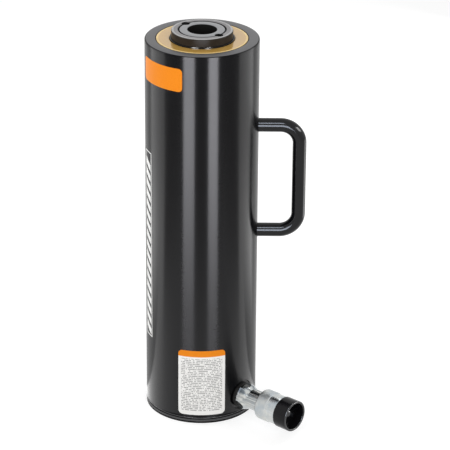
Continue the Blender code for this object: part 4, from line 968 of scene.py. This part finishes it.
def paperFinish(name, shape, ruled, look=paperLook):
    finish = Finish(name)
    height = finish.place.part("Z")
    fibres = finish.noise(finish.place, 900.0, 4.0, 0.6)
    orange = fibres.ramp(0.3, 0.7).blend(*(fromScreen(*c) for c in look["orange"]))
    base = orange
    if ruled:
        soil = finish.noise(finish.place, 60.0, 3.0, 0.5)
        white = (fibres * 0.5 + soil * 0.5).ramp(0.3, 0.7).blend(*(fromScreen(*c) for c in look["white"]))
        low, header = shape["heights"][0], stickerShape["headerFrom"]
        row = (height - low) / stickerShape["rowPitch"]
        inside = (height > low + look["foot"]) * (height < header - look["head"])
        first, last = np.radians(shape["azimuth"])
        lean = finish.centred(axisPoint)
        turn = lean.part("Y").maths("ARCTAN2", lean.part("X"))
        across = (turn > first + look["side"]) * (turn < last - look["side"])
        word = finish.noise(row.node("ShaderNodeCombineXYZ", None, {
            "X": turn * look["wordScale"], "Y": row.maths("FLOOR") * look["rowShift"]}), 1.0, 1.0)
        ink = (row.maths("FRACT") > look["stripe"]) * inside * across * (word > look["word"])
        paper = (ink * look["inkShare"]).blend(white, fromScreen(*look["ink"]))
        base = (height > header).blend(paper, orange)
    finish.set(Base_Color=base, Roughness=((fibres - 0.5) * 0.1 + 0.42).held(), IOR=1.25)
    finish.bump(fibres, 0.06, 0.00004)
    return finish.material


for name, shape, paper in (("lowerLabel", stickerShape["lower"], "blankLabel"),
                           ("upperLabel", stickerShape["upper"], "orangeLabel")):
    makeSticker(name, shape, paperFinish(paper, shape, name == "lowerLabel"))

stripShape = {"azimuth": (-166.5, -151.2), "heights": (96 * mm, 329.5 * mm), "lean": 8 * mm,
              "line": 1.2 * mm, "lift": 0.06 * mm, "bars": 17, "barWidth": 0.60, "inset": 2.4 * mm}


def slanted(left, right, low, high, slant, count=60):
    # a four sided outline whose ends slope by the slant, its long sides cut into equal steps
    t = np.linspace(0, 1, count)[:, None]
    corners = [np.array(c) for c in ((left, low + slant), (left, high), (right, high - slant), (right, low))]
    sides = [a + (b - a) * t[:-1] for a, b in zip(corners, corners[1:] + corners[:1])]
    return np.concatenate(sides)


def makeStrip(size):
    # the frame is a flat band between two outlines with equal numbers of points, closed round its
    # four edges, and each bar an outline shrunk towards its middle
    first, last = np.radians(size["azimuth"]) * bodyRadius
    low, high = size["heights"]
    line, lean, inset, lift = size["line"], size["lean"], size["inset"], size["lift"]
    outer = slanted(first, last, low, high, 0)
    inner = slanted(first + line, last - line, low + line, high - line, 0)
    sheets = [np.stack([wrapped(loop, away) for loop, away in (
        (outer, skinBack), (outer, lift), (inner, lift), (inner, skinBack), (outer, skinBack))])]
    starts = np.linspace(low + inset, high - inset - lean, size["bars"] + 1)
    barHeight = lean + (starts[1] - starts[0]) * size["barWidth"]
    for start in starts[:-1]:
        bar = slanted(first + inset, last - inset, start, start + barHeight, lean, 12)
        middle = bar.mean(0)
        sheets.append(np.stack([wrapped(middle + (bar - middle) * share, away) for share, away in (
            (0, lift), (0.5, lift), (1, lift), (1, skinBack), (0.5, skinBack), (0, skinBack))]))
    return makePiece("sideStrip", sheets, "cylinder", None, [stripFinish])


makeStrip(stripShape)
print("labels made")

# CAD solids that keep their own shape, all of them inside the body
kept = {"tube_seal": rubberFinish, "gland_bearing": bearingFinish, "piston_head": pistonFinish,
        "piston_seal": rubberFinish, "piston_backup_ring": backupFinish, "piston_bearing": bearingFinish,
        "inner_seal": rubberFinish, "inner_bearing": bearingFinish}
for name, finish in kept.items():
    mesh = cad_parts[name].data
    mesh.materials.clear()
    mesh.materials.append(finish)

# Floor and world. The floor's diffuse colour takes the shadows, and its glow is only seen directly
studio = {"floorSize": 9.0, "floorDiffuse": 0.46, "floorGlow": 0.64, "world": 0.44}


def seenDirectly(tree):
    # 1 for camera, glossy and transmission rays, 0 for the rest
    path = tree.nodes.new("ShaderNodeLightPath")
    camera, glossy, through = (Field(tree, path.outputs[f"Is {kind} Ray"])
                               for kind in ("Camera", "Glossy", "Transmission"))
    return camera.most(glossy).most(through)


def makeFloor():
    # a square just under the plane z = 0, wide enough to reach past every view
    t = np.linspace(-0.5, 0.5, 9) * studio["floorSize"]
    x, y = np.meshgrid(t, t)
    mesh = bpy.data.meshes.new("studioFloor")
    mesh.from_pydata(np.stack([x, y, 0 * x - 0.2 * mm], -1).reshape(-1, 3), [], gridFaces(9, 9, False))
    floor = bpy.data.objects.new("studioFloor", mesh)
    bpy.context.scene.collection.objects.link(floor)
    material = bpy.data.materials.new("paleFloor")
    material.use_nodes = True
    tree = material.node_tree
    tree.nodes.remove(tree.nodes["Principled BSDF"])
    seen = seenDirectly(tree)
    place = Field(tree, tree.nodes.new("ShaderNodeTexCoord").outputs["Object"])
    grain = place.node("ShaderNodeTexNoise", None, {"Vector": place, "Scale": 3.0, "Detail": 2.0})
    paint = grain.blend(*([studio["floorDiffuse"] * share] * 3 for share in (0.995, 1.005)))
    matt = paint.node("ShaderNodeBsdfDiffuse", None, {"Color": paint})
    glow = seen.node("ShaderNodeEmission", None, {"Strength": seen * studio["floorGlow"]})
    both = matt.node("ShaderNodeAddShader", None, {0: matt, 1: glow})
    tree.links.new(both.out, tree.nodes["Material Output"].inputs["Surface"])
    mesh.materials.append(material)


def makeWorld():
    # strength 1 where seen directly, and the studio's own strength as light
    world = bpy.data.worlds.new("studioWorld")
    world.use_nodes = True
    tree = world.node_tree
    seen = seenDirectly(tree)
    sky = tree.nodes["Background"]
    sky.inputs["Color"].default_value = (1, 1, 1, 1)
    tree.links.new((seen * (1 - studio["world"]) + studio["world"]).out, sky.inputs["Strength"])
    bpy.context.scene.world = world


makeFloor()
makeWorld()

# Lights. Each has its azimuth in degrees from the camera's side to the right, its distance from
# the axis, its height, how wide and tall it is, its radiance, and the set of pieces that it lights
# alone, as flags would keep it off the rest. The last ones light everything, but aren't mirrored.
lights = {
    "leftStrip": (-24, 0.60, 0.55, 0.225, 1.06, 31.5, "wallSet"),
    "leftStripGlint": (-24, 0.60, 0.55, 0.225, 1.06, 110.0, "wiperSet"),
    "rightStrip": (22, 0.60, 0.55, 0.19, 1.06, 35.0, "wallSet"),
    "rightStripGlint": (22, 0.60, 0.55, 0.19, 1.06, 110.0, "wiperSet"),
    "leftPanel": (-97, 0.75, 0.55, 0.58, 1.06, 4.2, "wallSet"),
    "leftLowPanel": (-97, 0.35, 0.09, 0.27, 0.16, 4.5, "wallSet"),
    "rightPanel": (98, 0.75, 0.55, 0.58, 1.06, 4.2, "wallSet"),
    "rightLowPanel": (98, 0.35, 0.09, 0.27, 0.16, 4.5, "wallSet"),
    "footGlow": (0, 0.01, 0.004, 0.75, 0.75, 2.4, "wallSet"),
    "barHigh": (0, 0.9, 1.39, 0.7, 0.45, 15.0, "blackSet"),
    "barLow": (0, 0.9, 0.41, 0.7, 0.38, 15.0, "blackSet"),
    "gripLight": (100, 0.5, 0.12, 0.2, 0.28, 3.5, "blackSet"),
    "capLight": (80, 0.9, 0.75, 0.5, 0.3, 12.0, "blackSet"),
    "hubLight": (83, 0.594, 0.131, 0.08, 0.08, 75.0, "capSet"),
    "zincBack": (-150, 0.9, 1.1, 0.5, 0.4, 0.7, "zincSet"),
    "zincFront": (-20, 0.8, 0.75, 0.3, 0.25, 1.8, "zincSet"),
    "zincTop": (170, 0.5, 1.2, 0.6, 0.5, 3.2, "zincSet"),
    "frontLeft": (-25, 1.7, 1.1, 0.6, 1.0, 7.0, None),
    "frontRight": (22, 1.7, 1.1, 0.6, 1.0, 7.0, None),
    "leftBank": (-118, 1.3, 0.75, 1.5, 1.5, 1.8, None),
    "rightBank": (138, 1.3, 0.75, 1.2, 1.5, 1.8, None),
    "topBank": (180, 0.9, 1.5, 1.6, 1.2, 1.0, None)}
litSets = {"wallSet": ("bodyTube", "basePlate"), "wiperSet": ("rodWiper",),
           "blackSet": ("handleBar", "dustCap", "plungerSleeve"), "capSet": ("dustCap",),
           "zincSet": ("couplerHalf", "couplerSleeve")}
lightAims = {"footGlow": axisPoint + [0, 0.1, 1.0], "hubLight": couplerStart + 0.134 * couplerOut,
             "zincTop": couplerStart + 0.11 * couplerOut, "topBank": axisPoint + [0, 0, 0.23]}
stripTint, skyTint = (0.99, 0.985, 1.04), (0.88, 0.96, 1.12)
lightTints = {"leftStrip": stripTint, "rightStrip": stripTint, "barHigh": skyTint, "barLow": skyTint}


def softLight(name, azimuth, distance, height, width, tall, radiance, litSet):
    # power = radiance * pi * area; a light without an aim of its own faces the axis
    a = math.radians(azimuth)
    place = axisPoint + np.array([math.sin(a) * distance, -math.cos(a) * distance, height])
    target = lightAims.get(name, axisPoint + [0, 0, height])
    data = bpy.data.lights.new(name, "AREA")
    data.shape = "RECTANGLE"
    data.size, data.size_y = width, tall
    data.energy = radiance * math.pi * width * tall
    data.color = lightTints.get(name, (1, 1, 1))
    light = bpy.data.objects.new(name, data)
    bpy.context.scene.collection.objects.link(light)
    ahead = target - place
    ahead /= np.linalg.norm(ahead)
    right = np.cross(ahead, upward)
    right /= np.linalg.norm(right)
    above = np.cross(right, ahead)
    basis = np.eye(4)
    basis[:3, 0], basis[:3, 1], basis[:3, 2], basis[:3, 3] = right, above, -ahead, place
    light.matrix_world = Matrix(basis)
    light.visible_camera = False
    light.visible_glossy = litSet is not None
    if litSet:
        light.visible_diffuse = False
        light.light_linking.receiver_collection = bpy.data.collections[litSet]


for name, pieces in litSets.items():
    chosen = bpy.data.collections.new(name)
    for piece in pieces:
        chosen.objects.link(bpy.data.objects[piece])
for name, values in lights.items():
    softLight(name, *values)

cameraView = {"focal": 194.06, "right": 0.02727, "back": 2.5715, "height": 1.3887, "pitch": 24.31,
              "roll": 0.44}


def makeCamera(view):
    # turned up from straight down by 90 - pitch about X, after a small roll about its own axis
    data = bpy.data.cameras.new("studioCamera")
    data.lens, data.sensor_width = view["focal"], 36
    data.clip_start, data.clip_end = 0.05, 50
    camera = bpy.data.objects.new("studioCamera", data)
    bpy.context.scene.collection.objects.link(camera)
    lean, roll = math.radians(90 - view["pitch"]), math.radians(view["roll"])
    tilt = np.array([[1, 0, 0], [0, math.cos(lean), -math.sin(lean)], [0, math.sin(lean), math.cos(lean)]])
    spin = np.array([[math.cos(roll), -math.sin(roll), 0], [math.sin(roll), math.cos(roll), 0], [0, 0, 1]])
    basis = np.eye(4)
    basis[:3, :3] = tilt @ spin
    basis[:3, 3] = axisPoint + np.array([view["right"], -view["back"], view["height"]])
    camera.matrix_world = Matrix(basis)
    bpy.context.scene.camera = camera


makeCamera(cameraView)
bpy.context.scene.view_settings.view_transform = "Standard"
print("stage, lights and camera set")
